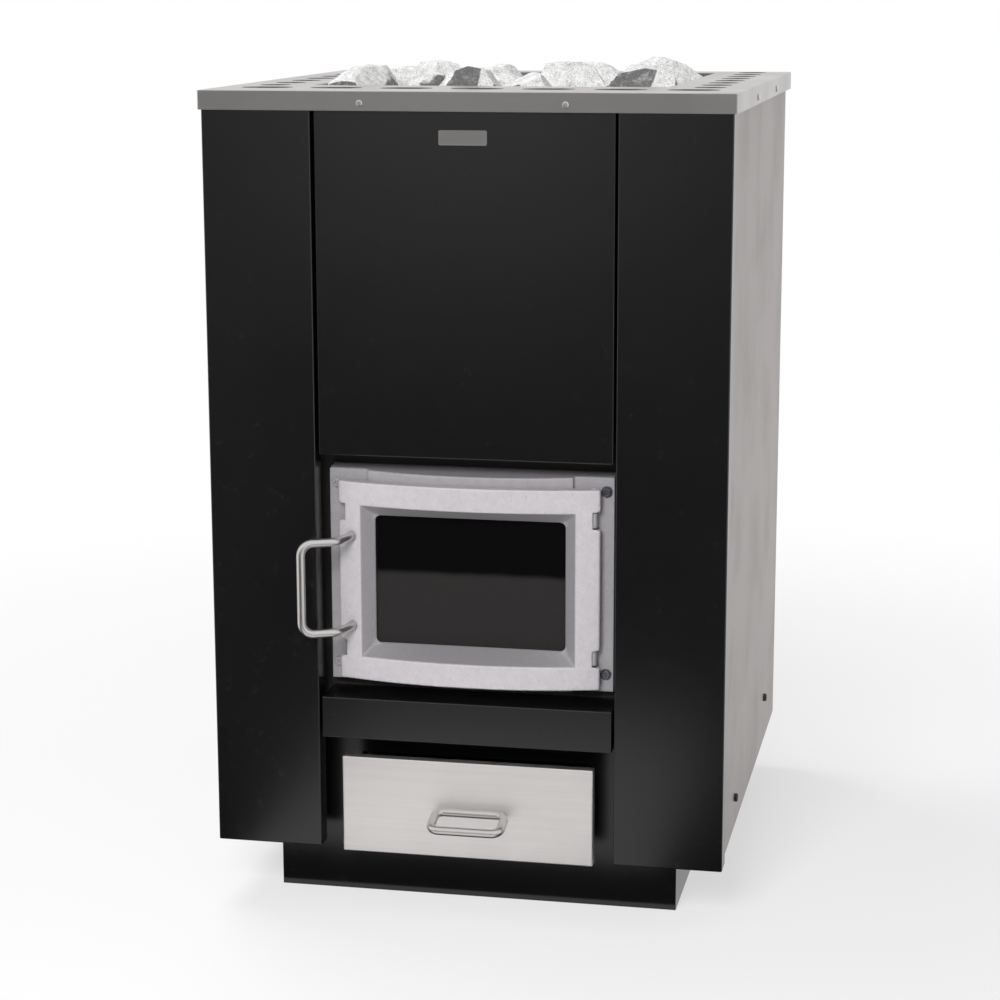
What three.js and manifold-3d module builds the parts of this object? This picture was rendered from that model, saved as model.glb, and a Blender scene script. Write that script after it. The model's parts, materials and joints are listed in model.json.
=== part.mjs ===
// Free-standing wood-burning sauna heater: a black steel base and firebox inside a sheet-metal
// casing, a cast fire door with a window, an ash drawer, and a bin of stones under a vented frame.
// Millimetres, +Z up, front towards -Y. The origin is on the floor under the middle of the casing.

import * as THREE from 'three';
import { mergeVertices } from 'three/addons/utils/BufferGeometryUtils.js';
import Module from 'manifold-3d';

const wasm = await Module();
wasm.setup();

// Clearances and stock
const SEAT = 0.3;                  // gap between pieces that touch
const SHEET = 1.5;                 // casing sheet
const PLATE = 4;                   // base and firebox plate
const FLANGE = 20;                 // folded edges of the casing sheets
const FACETS = 12;                 // sides of round stock
const ARC_STEPS = FACETS / 2;      // steps in each half turn of a drawn arc

// Casing and top frame
const CASE_WIDTH = 600;
const CASE_DEPTH = 650;
const CASE_HEIGHT = 943;
const SKIRT_HEIGHT = 21.5;
const FRAME_LIP = 2;               // top frame past the column faces
const COLUMN_INSET = 3.5;          // column sides inside the frame's side edges
const SIDE_INSET = 5.8;            // side panels inside the frame's side edges
const BACK_INSET = 10;             // side panels short of the frame's back edge
const COLUMN_BOTTOM = 72;
const COLUMN_RETURN_IN = 24;
const COLUMN_RETURN_OUT = 28;
const SIDE_BOTTOM = 75.6;
const FRONT_BAND = 150;            // top frame widths around the stone opening
const BACK_BAND = 60;
const SIDE_BAND = 93;
const SLOT_COUNT = 7;              // convection slots along the front band
const SLOT_LENGTH = 60;
const SLOT_WIDTH = 38;
const SLOT_FROM_FRONT = 82;
const SLOT_FROM_SIDE = 57;
const HOLE_COUNT = 8;              // convection holes along each side band
const HOLE_RADIUS = 18.5;
const HOLE_FROM_SIDE = 47;
const HOLE_FROM_FRONT = 148;
const HOLE_FROM_BACK = 37;

// Black stove body: base box below, firebox above
const BODY_WIDTH = 474;
const BODY_RECESS = 59.3;          // body front behind the column faces
const BODY_FROM_BACK = 70;
const FIREBOX_HEIGHT = 430;
const GRATE_WIDTH = 200;
const GRATE_LENGTH = 300;
const GRATE_THICKNESS = 14;
const GRATE_LEDGE = 12;
const GRATE_SLOTS = 7;
const GRATE_SLOT_WIDTH = 12;
const FLUE_RADIUS = 60;
const FLUE_WALL = 3;
const FLUE_BELOW_TOP = 85;         // flue axis under the firebox top
const FLUE_REACH = 25;             // spigot past the top frame's back edge
const FLUE_AIR_GAP = 12;
const BRACKET_SHEET = 2.5;
const BRACKET_LENGTH = 420;
const BRACKET_HEIGHT = 48;
const BRACKET_FOOT = 24;
const BRACKET_BASE = 100;

// Ash drawer, rail and upper panel
const DRAWER_WIDTH = 294.4;
const DRAWER_HEIGHT = 115;
const DRAWER_BOTTOM = 66;
const DRAWER_RECESS = 6;
const DRAWER_FOLD = 12;
const DRAWER_WALL = 2;
const DRAWER_SIDE_GAP = 15;        // front panel past the drawer box at each side
const DRAWER_UNDERCUT = 12;        // drawer box above the front panel's lower edge
const DRAWER_TOP_GAP = 14;
const DRAWER_REAR_GAP = 60;        // drawer box short of the base's back wall
const DRAWER_RUN_GAP = 4;          // opening around the drawer box
const RUNNER_SHEET = 2;
const RUNNER_SHELF = 26;
const RUNNER_GUIDE = 16;
const PULL_WIDTH = 81.4;           // drawer handle, along the rod's centre line
const PULL_REACH = 42;
const PULL_DROOP = 9.6;
const PULL_ABOVE_BOTTOM = 56.5;
const PULL_OFFSET = 6;
const PULL_BEND = 12;
const RAIL_GAP = 23.2;
const RAIL_HEIGHT = 48.4;
const RAIL_RECESS = 1;
const PANEL_SIDE_GAP = 3.3;        // rail and upper panel clear of the columns
const PANEL_RECESS = 3.6;
const PANEL_ABOVE_COLLAR = 20.5;
const BADGE_WIDTH = 54;            // blank plate on the upper panel
const BADGE_HEIGHT = 16.5;
const BADGE_THICKNESS = 1;
const BADGE_BELOW_TOP = 50;
const BADGE_CORNER = 2;

// Fire door, its collar and its handle
const DOOR_WIDTH = 303;
const DOOR_HEIGHT = 232;
const DOOR_RADIUS = 572;           // bow of the door's face, seen from above
const DOOR_APEX = 1;               // middle of the door's face behind the column faces
const DOOR_THICKNESS = 14.5;
const DOOR_SKIRT = 11.4;           // depth of the door's upright edges
const DOOR_CHAMFER = 5;
const DOOR_STILE = 27;             // face beside, above and below the window
const BAY_MARGIN = 20.3;           // columns clear of the door
const DRAWER_MARGIN = 24.6;        // and at least this far clear of the drawer
const WINDOW_BEVEL = 14.5;
const WINDOW_BEVEL_DEPTH = 16.5;
const WINDOW_LAND = 1.5;
const WINDOW_WALL = 9;             // casting around the glass
const GLASS_THICKNESS = 4;
const GLASS_LAP = 6;               // glass past the window's edge
const GASKET_THICKNESS = 1.5;
const CLIP_THICKNESS = 2;
const CLIP_LENGTH = 120;
const CLIP_LAP = 4;
const COLLAR_ABOVE_RAIL = 13.8;
const COLLAR_BELOW_DOOR = 5.4;
const COLLAR_ABOVE_DOOR = 12;
const COLLAR_SIDE = 13.5;          // collar flange past the door's edges
const FLANGE_BEHIND_EDGE = 15;     // collar flange behind the door's side edges
const LIP_GAP = 1.2;               // collar lip behind the door
const LIP_STEP = 4;
const COVE_WIDTH = 20;
const THROAT_GAP = 4.5;            // collar throat around the window casting
const HINGE_INSET = 8.5;           // hinge axis from the door's edge
const HINGE_BEHIND_EDGE = 5.4;
const PIN_RADIUS = 2.5;
const PIN_CLEARANCE = 0.4;
const PIN_GRIP = 12;               // pin into the door above and below each lug
const LUG_RADIUS = 5;
const LUG_WEB = 6;
const LUG_HEIGHT = 20.3;
const LUG_FROM_END = 25.8;
const POCKET_DEPTH = 17;
const POCKET_SKIN = 1.1;           // pocket front ahead of the door's edge
const POCKET_PLAY = 1.2;
const ROD_RADIUS = 5;              // stainless rod of both handles
const HANDLE_INSET = 15.7;         // handle feet from the door's left edge
const HANDLE_SPAN = 105.3;
const HANDLE_STANDOFF = 36;
const HANDLE_SWEEP = 36.6;         // from the elbows to the grip, sideways and forwards
const HANDLE_ADVANCE = 17.8;
const HANDLE_BEND = 15;
const HANDLE_STUD = 4;
const STUD_LENGTH = 14;
const NUT_RADIUS = 7.5;
const NUT_HEIGHT = 5;
const NUT_SEAT_DEPTH = 7;
const NUT_SEAT_RADIUS = 9.5;

// Stones
const BIN_WALL = 2.5;
const STONE_COLUMNS = 4;
const STONE_ROWS = 3;
const STONE_PROUD = 27;            // highest stone above the top frame
const STONE_DEPTH = 62;            // loose upper layer below the top frame

// Fasteners: shank radius, head radius, head height, shank length
const SKIRT_SCREW = { shank: 2, head: 4, height: 2.2, length: 8 };
const SIDE_SCREW = { shank: 2.5, head: 5, height: 3.6, length: 8 };
const COLLAR_SCREW = { shank: 2.5, head: 5.4, height: 3.4, length: 30 };
const SCREW_HOLE_PLAY = 0.5;
const SCREW_FACETS = 8;
const SKIRT_SCREW_X = 114.5;
const SKIRT_SCREW_Y = [-107, 121.6];
const SIDE_SCREW_PLACES = [[-175, 112.5], [175, 135.5]];
const COLLAR_SCREW_INSET = 8.5;
const COLLAR_SCREW_FROM_TOP = 16.8;
const COLLAR_SCREW_FROM_BOTTOM = 20.6;

// Places worked out from the driving dimensions
const columnFace = -CASE_DEPTH / 2 + FRAME_LIP;
const behind = (recess) => columnFace + recess;
const panelTop = CASE_HEIGHT - SHEET - SEAT;
const bayHalf = Math.max(DOOR_WIDTH / 2 + BAY_MARGIN, DRAWER_WIDTH / 2 + DRAWER_MARGIN);
const columnOuter = CASE_WIDTH / 2 - COLUMN_INSET;
const sideFace = CASE_WIDTH / 2 - SIDE_INSET;
const sideFront = behind(COLUMN_RETURN_OUT + SEAT);
const sideBack = CASE_DEPTH / 2 - BACK_INSET;
const bodyHalf = BODY_WIDTH / 2;
const bodyFront = behind(BODY_RECESS);
const bodyBack = CASE_DEPTH / 2 - BODY_FROM_BACK;

const drawerTop = DRAWER_BOTTOM + DRAWER_HEIGHT;
const drawerBox = {
  half: DRAWER_WIDTH / 2 - DRAWER_SIDE_GAP,
  front: behind(DRAWER_RECESS) + SHEET + SEAT,
  back: bodyBack - PLATE - DRAWER_REAR_GAP,
  bottom: DRAWER_BOTTOM + DRAWER_UNDERCUT,
  top: drawerTop - DRAWER_TOP_GAP,
};
const railBottom = drawerTop + RAIL_GAP;
const railTop = railBottom + RAIL_HEIGHT;
const baseTop = railBottom + RAIL_HEIGHT / 6;
const fireboxTop = baseTop + SEAT + FIREBOX_HEIGHT;
const flueAxis = fireboxTop - FLUE_BELOW_TOP;

const collarBottom = railTop + COLLAR_ABOVE_RAIL;
const doorBottom = collarBottom + COLLAR_BELOW_DOOR;
const doorTop = doorBottom + DOOR_HEIGHT;
const doorMiddle = (doorBottom + doorTop) / 2;
const collarTop = doorTop + COLLAR_ABOVE_DOOR;
const panelBottom = collarTop + PANEL_ABOVE_COLLAR;
const doorHalf = DOOR_WIDTH / 2;
const doorFace = (x) => DOOR_APEX + DOOR_RADIUS - Math.sqrt(DOOR_RADIUS ** 2 - x ** 2);
const doorEdge = doorFace(doorHalf);
const doorRear = doorEdge + DOOR_SKIRT;
const bowCentre = behind(DOOR_APEX + DOOR_RADIUS);
const hinge = { x: doorHalf - HINGE_INSET, y: behind(doorEdge + HINGE_BEHIND_EDGE) };
const lugLow = [doorBottom + LUG_FROM_END, doorTop - LUG_FROM_END - LUG_HEIGHT];

const windowHalf = doorHalf - DOOR_STILE - WINDOW_BEVEL;
const windowHalfHeight = DOOR_HEIGHT / 2 - DOOR_STILE - WINDOW_BEVEL;
const bevelFront = doorFace(doorHalf - DOOR_STILE);
const bevelBack = bevelFront + WINDOW_BEVEL_DEPTH;
const gasketFront = bevelBack + WINDOW_LAND + SEAT;
const glassFront = gasketFront + GASKET_THICKNESS + SEAT;
const glassBack = glassFront + GLASS_THICKNESS;
const windowWall = { half: windowHalf + WINDOW_WALL, halfHeight: windowHalfHeight + WINDOW_WALL };
const throat = { half: windowWall.half + THROAT_GAP, halfHeight: windowWall.halfHeight + THROAT_GAP };
const collarHalf = doorHalf + COLLAR_SIDE;
const flangeFace = doorEdge + FLANGE_BEHIND_EDGE;
const handleFeet = [doorMiddle + HANDLE_SPAN / 2, doorMiddle - HANDLE_SPAN / 2];

const opening = {
  half: CASE_WIDTH / 2 - SIDE_BAND,
  front: -CASE_DEPTH / 2 + FRONT_BAND,
  back: CASE_DEPTH / 2 - BACK_BAND,
};
const binFloor = fireboxTop + SEAT;
const bedTop = CASE_HEIGHT - STONE_DEPTH;

const finish = (color, roughness, metalness) =>
  new THREE.MeshStandardMaterial({ color, roughness, metalness });
const blackPaint = finish(0x1c1b1e, 0.42, 0.1);
const stainless = finish(0xb3aeac, 0.32, 1);
const brightRod = finish(0xc9c6c4, 0.2, 1);
const silverCasting = finish(0xc8c4c6, 0.62, 0.25);
const darkSteel = finish(0x3a3836, 0.6, 0.8);
const castIron = finish(0x2c2a29, 0.75, 0.6);
const sootGlass = new THREE.MeshStandardMaterial({
  color: 0x0c0c0d, roughness: 0.08, metalness: 0, transparent: true, opacity: 0.55,
});
const fibreGasket = finish(0x6d6a66, 0.95, 0);
const greyStone = finish(0xb4b2ae, 0.9, 0);

// Geometry helpers

function block([x0, x1], [y0, y1], [z0, z1]) {
  const geometry = new THREE.BoxGeometry(x1 - x0, y1 - y0, z1 - z0);
  return geometry.translate((x0 + x1) / 2, (y0 + y1) / 2, (z0 + z1) / 2);
}

function outline(points) {
  return new THREE.Shape(points.map(([a, b]) => new THREE.Vector2(a, b)));
}

// A plan outline in X and Y, raised along Z
function raise(shape, [z0, z1], curveSegments = ARC_STEPS) {
  const settings = { depth: z1 - z0, bevelEnabled: false, curveSegments };
  return new THREE.ExtrudeGeometry(shape, settings).translate(0, 0, z0);
}

// A side outline in Y and Z, drawn along X
function alongX(shape, [x0, x1]) {
  const axes = [new THREE.Vector3(0, 1, 0), new THREE.Vector3(0, 0, 1), new THREE.Vector3(1, 0, 0)];
  const turn = new THREE.Matrix4().makeBasis(...axes);
  return raise(shape, [0, x1 - x0]).applyMatrix4(turn).translate(x0, 0, 0);
}

// A front outline in X and Z, drawn along Y
function alongY(shape, [y0, y1], curveSegments = ARC_STEPS) {
  return raise(shape, [0, y1 - y0], curveSegments).rotateX(Math.PI / 2).translate(0, y1, 0);
}

function circle(x, y, radius) {
  const path = new THREE.Shape();
  path.absarc(x, y, radius, 0, 2 * Math.PI, false);
  return path;
}

// A slot with round ends, its long side along X
function slot(x, y, length, width) {
  const path = new THREE.Path();
  const reach = (length - width) / 2;
  path.absarc(x + reach, y, width / 2, -Math.PI / 2, Math.PI / 2, false);
  path.absarc(x - reach, y, width / 2, Math.PI / 2, 1.5 * Math.PI, false);
  path.closePath();
  return path;
}

// A round bar from one point along a direction
function bar(start, direction, length, radius, sides = FACETS) {
  const geometry = new THREE.CylinderGeometry(radius, radius, length, sides);
  const up = new THREE.Vector3(0, 1, 0);
  const unit = direction.clone().normalize();
  geometry.translate(0, length / 2, 0);
  geometry.applyQuaternion(new THREE.Quaternion().setFromUnitVectors(up, unit));
  return geometry.translate(start.x, start.y, start.z);
}

// A path through the points with its corners rounded
function roundedPath(points, bend) {
  const path = new THREE.CurvePath();
  let from = points[0];
  for (let i = 1; i < points.length - 1; i += 1) {
    const corner = points[i];
    const before = corner.clone().add(points[i - 1].clone().sub(corner).setLength(bend));
    const after = corner.clone().add(points[i + 1].clone().sub(corner).setLength(bend));
    path.add(new THREE.LineCurve3(from, before));
    path.add(new THREE.QuadraticBezierCurve3(before, corner, after));
    from = after;
  }
  path.add(new THREE.LineCurve3(from, points[points.length - 1]));
  return path;
}

function rod(path, radius, steps) {
  const settings = { extrudePath: path, steps, curveSegments: ARC_STEPS };
  return new THREE.ExtrudeGeometry(circle(0, 0, radius), settings);
}

// Boolean joining and cutting

function solid(geometry) {
  const bare = geometry.clone();
  bare.deleteAttribute('normal');
  bare.deleteAttribute('uv');
  const merged = mergeVertices(bare, 1e-3);
  const mesh = new wasm.Mesh({
    numProp: 3,
    vertProperties: Float32Array.from(merged.attributes.position.array),
    triVerts: Uint32Array.from(merged.index.array),
  });
  return new wasm.Manifold(mesh);
}

function surface(manifold) {
  const mesh = manifold.getMesh();
  const geometry = new THREE.BufferGeometry();
  geometry.setAttribute('position', new THREE.BufferAttribute(Float32Array.from(mesh.vertProperties), 3));
  geometry.setIndex(new THREE.BufferAttribute(Uint32Array.from(mesh.triVerts), 1));
  geometry.computeVertexNormals();
  return geometry;
}

const join = (...geometries) => surface(geometries.map(solid).reduce((a, b) => a.add(b)));

const cut = (geometry, ...tools) =>
  surface(tools.map(solid).reduce((a, b) => a.subtract(b), solid(geometry)));

// Scene graph

const stove = new THREE.Group();

function assembly(parent = stove) {
  const group = new THREE.Group();
  parent.add(group);
  return group;
}

function piece(group, name, geometry, material) {
  const mesh = new THREE.Mesh(geometry, material);
  mesh.name = name;
  group.add(mesh);
  return mesh;
}

const sides = [['left', -1], ['right', 1]];
const span = (sign, a, b) => (sign > 0 ? [a, b] : [-b, -a]);
const FAR = 2000;                  // reach of a cut that runs out of the part

// Fasteners

function screw(size, place, outward) {
  const profile = [
    [0, -size.length], [size.shank, -size.length], [size.shank, 0], [size.head, 0],
    [size.head, size.height * 0.45], [size.head * 0.7, size.height * 0.9], [0, size.height],
  ];
  const points = profile.map(([r, h]) => new THREE.Vector2(r, h));
  const geometry = new THREE.LatheGeometry(points, SCREW_FACETS);
  const up = new THREE.Vector3(0, 1, 0);
  geometry.applyQuaternion(new THREE.Quaternion().setFromUnitVectors(up, outward));
  return geometry.translate(place.x, place.y, place.z);
}

// Clearance hole for a screw through everything under its head
function screwHole(size, place, outward) {
  const start = place.clone().addScaledVector(outward, size.height);
  const length = size.height + size.length + 2;
  return bar(start, outward.clone().negate(), length, size.shank + SCREW_HOLE_PLAY);
}

const forward = new THREE.Vector3(0, -1, 0);
const skirtScrewZ = CASE_HEIGHT - SKIRT_HEIGHT / 2 - 2.6;

const frontScrews = sides.map(([side, sign]) => ({
  name: `front_skirt_screw_${side}`,
  place: new THREE.Vector3(sign * SKIRT_SCREW_X, -CASE_DEPTH / 2 - SEAT, skirtScrewZ),
  outward: forward,
}));

const sideScrews = (places, face) => sides.flatMap(([side, sign]) => places.map(([y, z], i) => ({
  side,
  ordinal: ['front', 'rear'][i],
  place: new THREE.Vector3(sign * (face + SEAT), y, z),
  outward: new THREE.Vector3(sign, 0, 0),
})));
const skirtScrews = sideScrews(SKIRT_SCREW_Y.map((y) => [y, skirtScrewZ]), CASE_WIDTH / 2);
const panelScrews = sideScrews(SIDE_SCREW_PLACES, sideFace);

const collarScrews = sides.flatMap(([side, sign]) => [
  ['upper', collarTop - COLLAR_SCREW_FROM_TOP], ['lower', collarBottom + COLLAR_SCREW_FROM_BOTTOM],
].map(([level, z]) => ({
  name: `collar_screw_${level}_${side}`,
  place: new THREE.Vector3(sign * (collarHalf - COLLAR_SCREW_INSET), behind(flangeFace) - SEAT, z),
  outward: forward,
})));

const holesFor = (size, list) => list.map(({ place, outward }) => screwHole(size, place, outward));
const onSide = (list, side) => list.filter((entry) => entry.side === side);

// Base box on the floor, with the drawer opening in its front

function basePlinth() {
  const inside = bodyHalf - PLATE;
  const half = drawerBox.half + DRAWER_RUN_GAP;
  const z = [drawerBox.bottom - DRAWER_RUN_GAP, drawerBox.top + DRAWER_RUN_GAP];
  return cut(
    block([-bodyHalf, bodyHalf], [bodyFront, bodyBack], [0, baseTop]),
    block([-inside, inside], [bodyFront + PLATE, bodyBack - PLATE], [PLATE, FAR]),
    block([-half, half], [bodyFront - PLATE, bodyFront + 2 * PLATE], z),
  );
}

// Firebox on the base, open at the door, the grate and the flue

const fireboxFloor = baseTop + SEAT;
const grateCentre = (bodyFront + bodyBack) / 2;

function firebox() {
  const inside = bodyHalf - PLATE;
  const ash = { half: GRATE_WIDTH / 2 - GRATE_LEDGE, reach: GRATE_LENGTH / 2 - GRATE_LEDGE };
  const mouth = [doorMiddle - throat.halfHeight, doorMiddle + throat.halfHeight];
  return cut(
    block([-bodyHalf, bodyHalf], [bodyFront, bodyBack], [fireboxFloor, fireboxTop]),
    block([-inside, inside], [bodyFront + PLATE, bodyBack - PLATE],
      [fireboxFloor + PLATE, fireboxTop - PLATE]),
    block([-throat.half, throat.half], [bodyFront - PLATE, bodyFront + 2 * PLATE], mouth),
    block([-ash.half, ash.half], [grateCentre - ash.reach, grateCentre + ash.reach],
      [fireboxFloor - PLATE, fireboxFloor + 2 * PLATE]),
    alongY(circle(0, flueAxis, FLUE_RADIUS + SEAT), [bodyBack - 2 * PLATE, bodyBack + PLATE], FACETS),
    ...holesFor(COLLAR_SCREW, collarScrews),
  );
}

function fireGrate() {
  const bottom = fireboxFloor + PLATE + SEAT;
  const plate = block([-GRATE_WIDTH / 2, GRATE_WIDTH / 2],
    [grateCentre - GRATE_LENGTH / 2, grateCentre + GRATE_LENGTH / 2], [bottom, bottom + GRATE_THICKNESS]);
  const reach = GRATE_LENGTH / 2 - 2 * GRATE_LEDGE;
  const pitch = (GRATE_WIDTH - 2 * GRATE_LEDGE) / GRATE_SLOTS;
  const slots = Array.from({ length: GRATE_SLOTS }, (_, i) => {
    const x = (i - (GRATE_SLOTS - 1) / 2) * pitch;
    return block([x - GRATE_SLOT_WIDTH / 2, x + GRATE_SLOT_WIDTH / 2],
      [grateCentre - reach, grateCentre + reach], [bottom - PLATE, bottom + GRATE_THICKNESS + PLATE]);
  });
  return cut(plate, ...slots);
}

function flueSpigot() {
  const ring = circle(0, flueAxis, FLUE_RADIUS);
  ring.holes.push(circle(0, flueAxis, FLUE_RADIUS - FLUE_WALL));
  return alongY(ring, [bodyBack - 2 * PLATE, CASE_DEPTH / 2 + FLUE_REACH], FACETS);
}

const body = assembly();
piece(body, 'base_plinth', basePlinth(), blackPaint);
piece(body, 'firebox', firebox(), blackPaint);
piece(body, 'fire_grate', fireGrate(), castIron);
piece(body, 'flue_spigot', flueSpigot(), darkSteel);

// Casing

function frontColumn(sign) {
  const face = behind(0);
  const shell = cut(
    block(span(sign, bayHalf, columnOuter), [face, behind(COLUMN_RETURN_OUT)], [COLUMN_BOTTOM, panelTop]),
    block(span(sign, bayHalf + SHEET, columnOuter - SHEET), [face + SHEET, FAR],
      [COLUMN_BOTTOM + SHEET, FAR]),
  );
  const trim = block(span(sign, bayHalf - SHEET, bayHalf + 2 * SHEET), [behind(COLUMN_RETURN_IN), FAR],
    [0, FAR]);
  return cut(shell, trim);
}

function sidePanel(sign, side) {
  return cut(
    block(span(sign, sideFace - FLANGE, sideFace), [sideFront, sideBack], [SIDE_BOTTOM, panelTop]),
    block(span(sign, 0, sideFace - SHEET), [sideFront + SHEET, sideBack - SHEET],
      [SIDE_BOTTOM + SHEET, FAR]),
    ...holesFor(SKIRT_SCREW, onSide(skirtScrews, side)),
    ...holesFor(SIDE_SCREW, onSide(panelScrews, side)),
  );
}

// Angle bracket that carries a side panel on the base
function casingBracket(sign, side) {
  const inner = bodyHalf + SEAT;
  const outer = sideFace - SHEET - SEAT;
  const profile = [
    [inner, BRACKET_BASE - BRACKET_FOOT], [inner + BRACKET_SHEET, BRACKET_BASE - BRACKET_FOOT],
    [inner + BRACKET_SHEET, BRACKET_BASE], [outer, BRACKET_BASE],
    [outer, BRACKET_BASE + BRACKET_HEIGHT], [outer - BRACKET_SHEET, BRACKET_BASE + BRACKET_HEIGHT],
    [outer - BRACKET_SHEET, BRACKET_BASE + BRACKET_SHEET], [inner, BRACKET_BASE + BRACKET_SHEET],
  ];
  const shape = outline(profile.map(([x, z]) => [sign * x, z]));
  return cut(alongY(shape, [-BRACKET_LENGTH / 2, BRACKET_LENGTH / 2]),
    ...holesFor(SIDE_SCREW, onSide(panelScrews, side)));
}

function backPanel() {
  const half = sideFace - SHEET - SEAT;
  const rear = sideBack - SHEET - SEAT;
  return cut(block([-half, half], [rear - SHEET, rear], [SIDE_BOTTOM + SHEET + SEAT, panelTop]),
    alongY(circle(0, flueAxis, FLUE_RADIUS + FLUE_AIR_GAP), [rear - 2 * SHEET, rear + SHEET], FACETS));
}

function upperFrontPanel() {
  const half = bayHalf - PANEL_SIDE_GAP;
  const face = behind(PANEL_RECESS);
  return cut(
    block([-half, half], [face, face + FLANGE], [panelBottom, panelTop]),
    block([SHEET - half, half - SHEET], [face + SHEET, FAR], [panelBottom + SHEET, FAR]),
    ...holesFor(SKIRT_SCREW, frontScrews),
  );
}

function lowerFrontRail() {
  const half = bayHalf - PANEL_SIDE_GAP;
  const front = behind(RAIL_RECESS);
  const back = bodyFront - SEAT;
  const profile = outline([
    [front, railBottom], [back, railBottom], [back, railBottom + SHEET], [front + SHEET, railBottom + SHEET],
    [front + SHEET, railTop - SHEET], [back, railTop - SHEET], [back, railTop], [front, railTop],
  ]);
  return alongX(profile, [-half, half]);
}

function badge() {
  const half = BADGE_WIDTH / 2 - BADGE_CORNER;
  const z0 = CASE_HEIGHT - BADGE_BELOW_TOP - BADGE_HEIGHT / 2;
  const low = z0 + BADGE_CORNER;
  const high = z0 + BADGE_HEIGHT - BADGE_CORNER;
  const shape = new THREE.Shape();
  shape.absarc(half, low, BADGE_CORNER, -Math.PI / 2, 0, false);
  shape.absarc(half, high, BADGE_CORNER, 0, Math.PI / 2, false);
  shape.absarc(-half, high, BADGE_CORNER, Math.PI / 2, Math.PI, false);
  shape.absarc(-half, low, BADGE_CORNER, Math.PI, 1.5 * Math.PI, false);
  shape.closePath();
  const back = behind(PANEL_RECESS) - SEAT;
  return alongY(shape, [back - BADGE_THICKNESS, back], 4);
}

function topFrame() {
  const x = CASE_WIDTH / 2;
  const y = CASE_DEPTH / 2;
  const plate = outline([[-x, -y], [x, -y], [x, y], [-x, y]]);
  plate.holes.push(outline([
    [-opening.half, opening.front], [opening.half, opening.front],
    [opening.half, opening.back], [-opening.half, opening.back],
  ]));
  const slotPitch = (CASE_WIDTH - 2 * SLOT_FROM_SIDE) / (SLOT_COUNT - 1);
  for (let i = 0; i < SLOT_COUNT; i += 1) {
    plate.holes.push(slot(SLOT_FROM_SIDE - x + i * slotPitch, SLOT_FROM_FRONT - y, SLOT_LENGTH, SLOT_WIDTH));
  }
  const holePitch = (CASE_DEPTH - HOLE_FROM_FRONT - HOLE_FROM_BACK) / (HOLE_COUNT - 1);
  for (const [, sign] of sides) {
    for (let i = 0; i < HOLE_COUNT; i += 1) {
      plate.holes.push(circle(sign * (x - HOLE_FROM_SIDE), HOLE_FROM_FRONT - y + i * holePitch, HOLE_RADIUS));
    }
  }
  const skirt = outline([[-x, -y], [x, -y], [x, y], [-x, y]]);
  const ix = x - SHEET;
  const iy = y - SHEET;
  skirt.holes.push(outline([[-ix, -iy], [ix, -iy], [ix, iy], [-ix, iy]]));
  const folded = join(raise(plate, [CASE_HEIGHT - SHEET, CASE_HEIGHT]),
    raise(skirt, [CASE_HEIGHT - SKIRT_HEIGHT, CASE_HEIGHT]));
  return cut(folded, ...holesFor(SKIRT_SCREW, frontScrews), ...holesFor(SKIRT_SCREW, skirtScrews));
}

const casing = assembly();
for (const [side, sign] of sides) {
  piece(casing, `${side}_front_column`, frontColumn(sign), blackPaint);
  piece(casing, `${side}_side_panel`, sidePanel(sign, side), stainless);
  piece(casing, `${side}_casing_bracket`, casingBracket(sign, side), darkSteel);
}
piece(casing, 'back_panel', backPanel(), stainless);
piece(casing, 'upper_front_panel', upperFrontPanel(), blackPaint);
piece(casing, 'lower_front_rail', lowerFrontRail(), blackPaint);
piece(casing, 'name_plate', badge(), stainless);
piece(casing, 'top_frame', topFrame(), stainless);

const fasteners = assembly();
for (const { name, place, outward } of frontScrews) {
  piece(fasteners, name, screw(SKIRT_SCREW, place, outward), brightRod);
}
for (const { side, ordinal, place, outward } of skirtScrews) {
  piece(fasteners, `${side}_skirt_screw_${ordinal}`, screw(SKIRT_SCREW, place, outward), brightRod);
}
for (const { side, ordinal, place, outward } of panelScrews) {
  piece(fasteners, `${side}_panel_screw_${ordinal}`, screw(SIDE_SCREW, place, outward), darkSteel);
}

// Collar casting around the fire door, with the hinge lugs

function bowed(radius, half, path, leftwards) {
  const reach = Math.asin(half / radius);
  const middle = -Math.PI / 2;
  const turn = leftwards ? reach : -reach;
  path.absarc(0, bowCentre, radius, middle + turn, middle - turn, leftwards);
}

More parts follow.
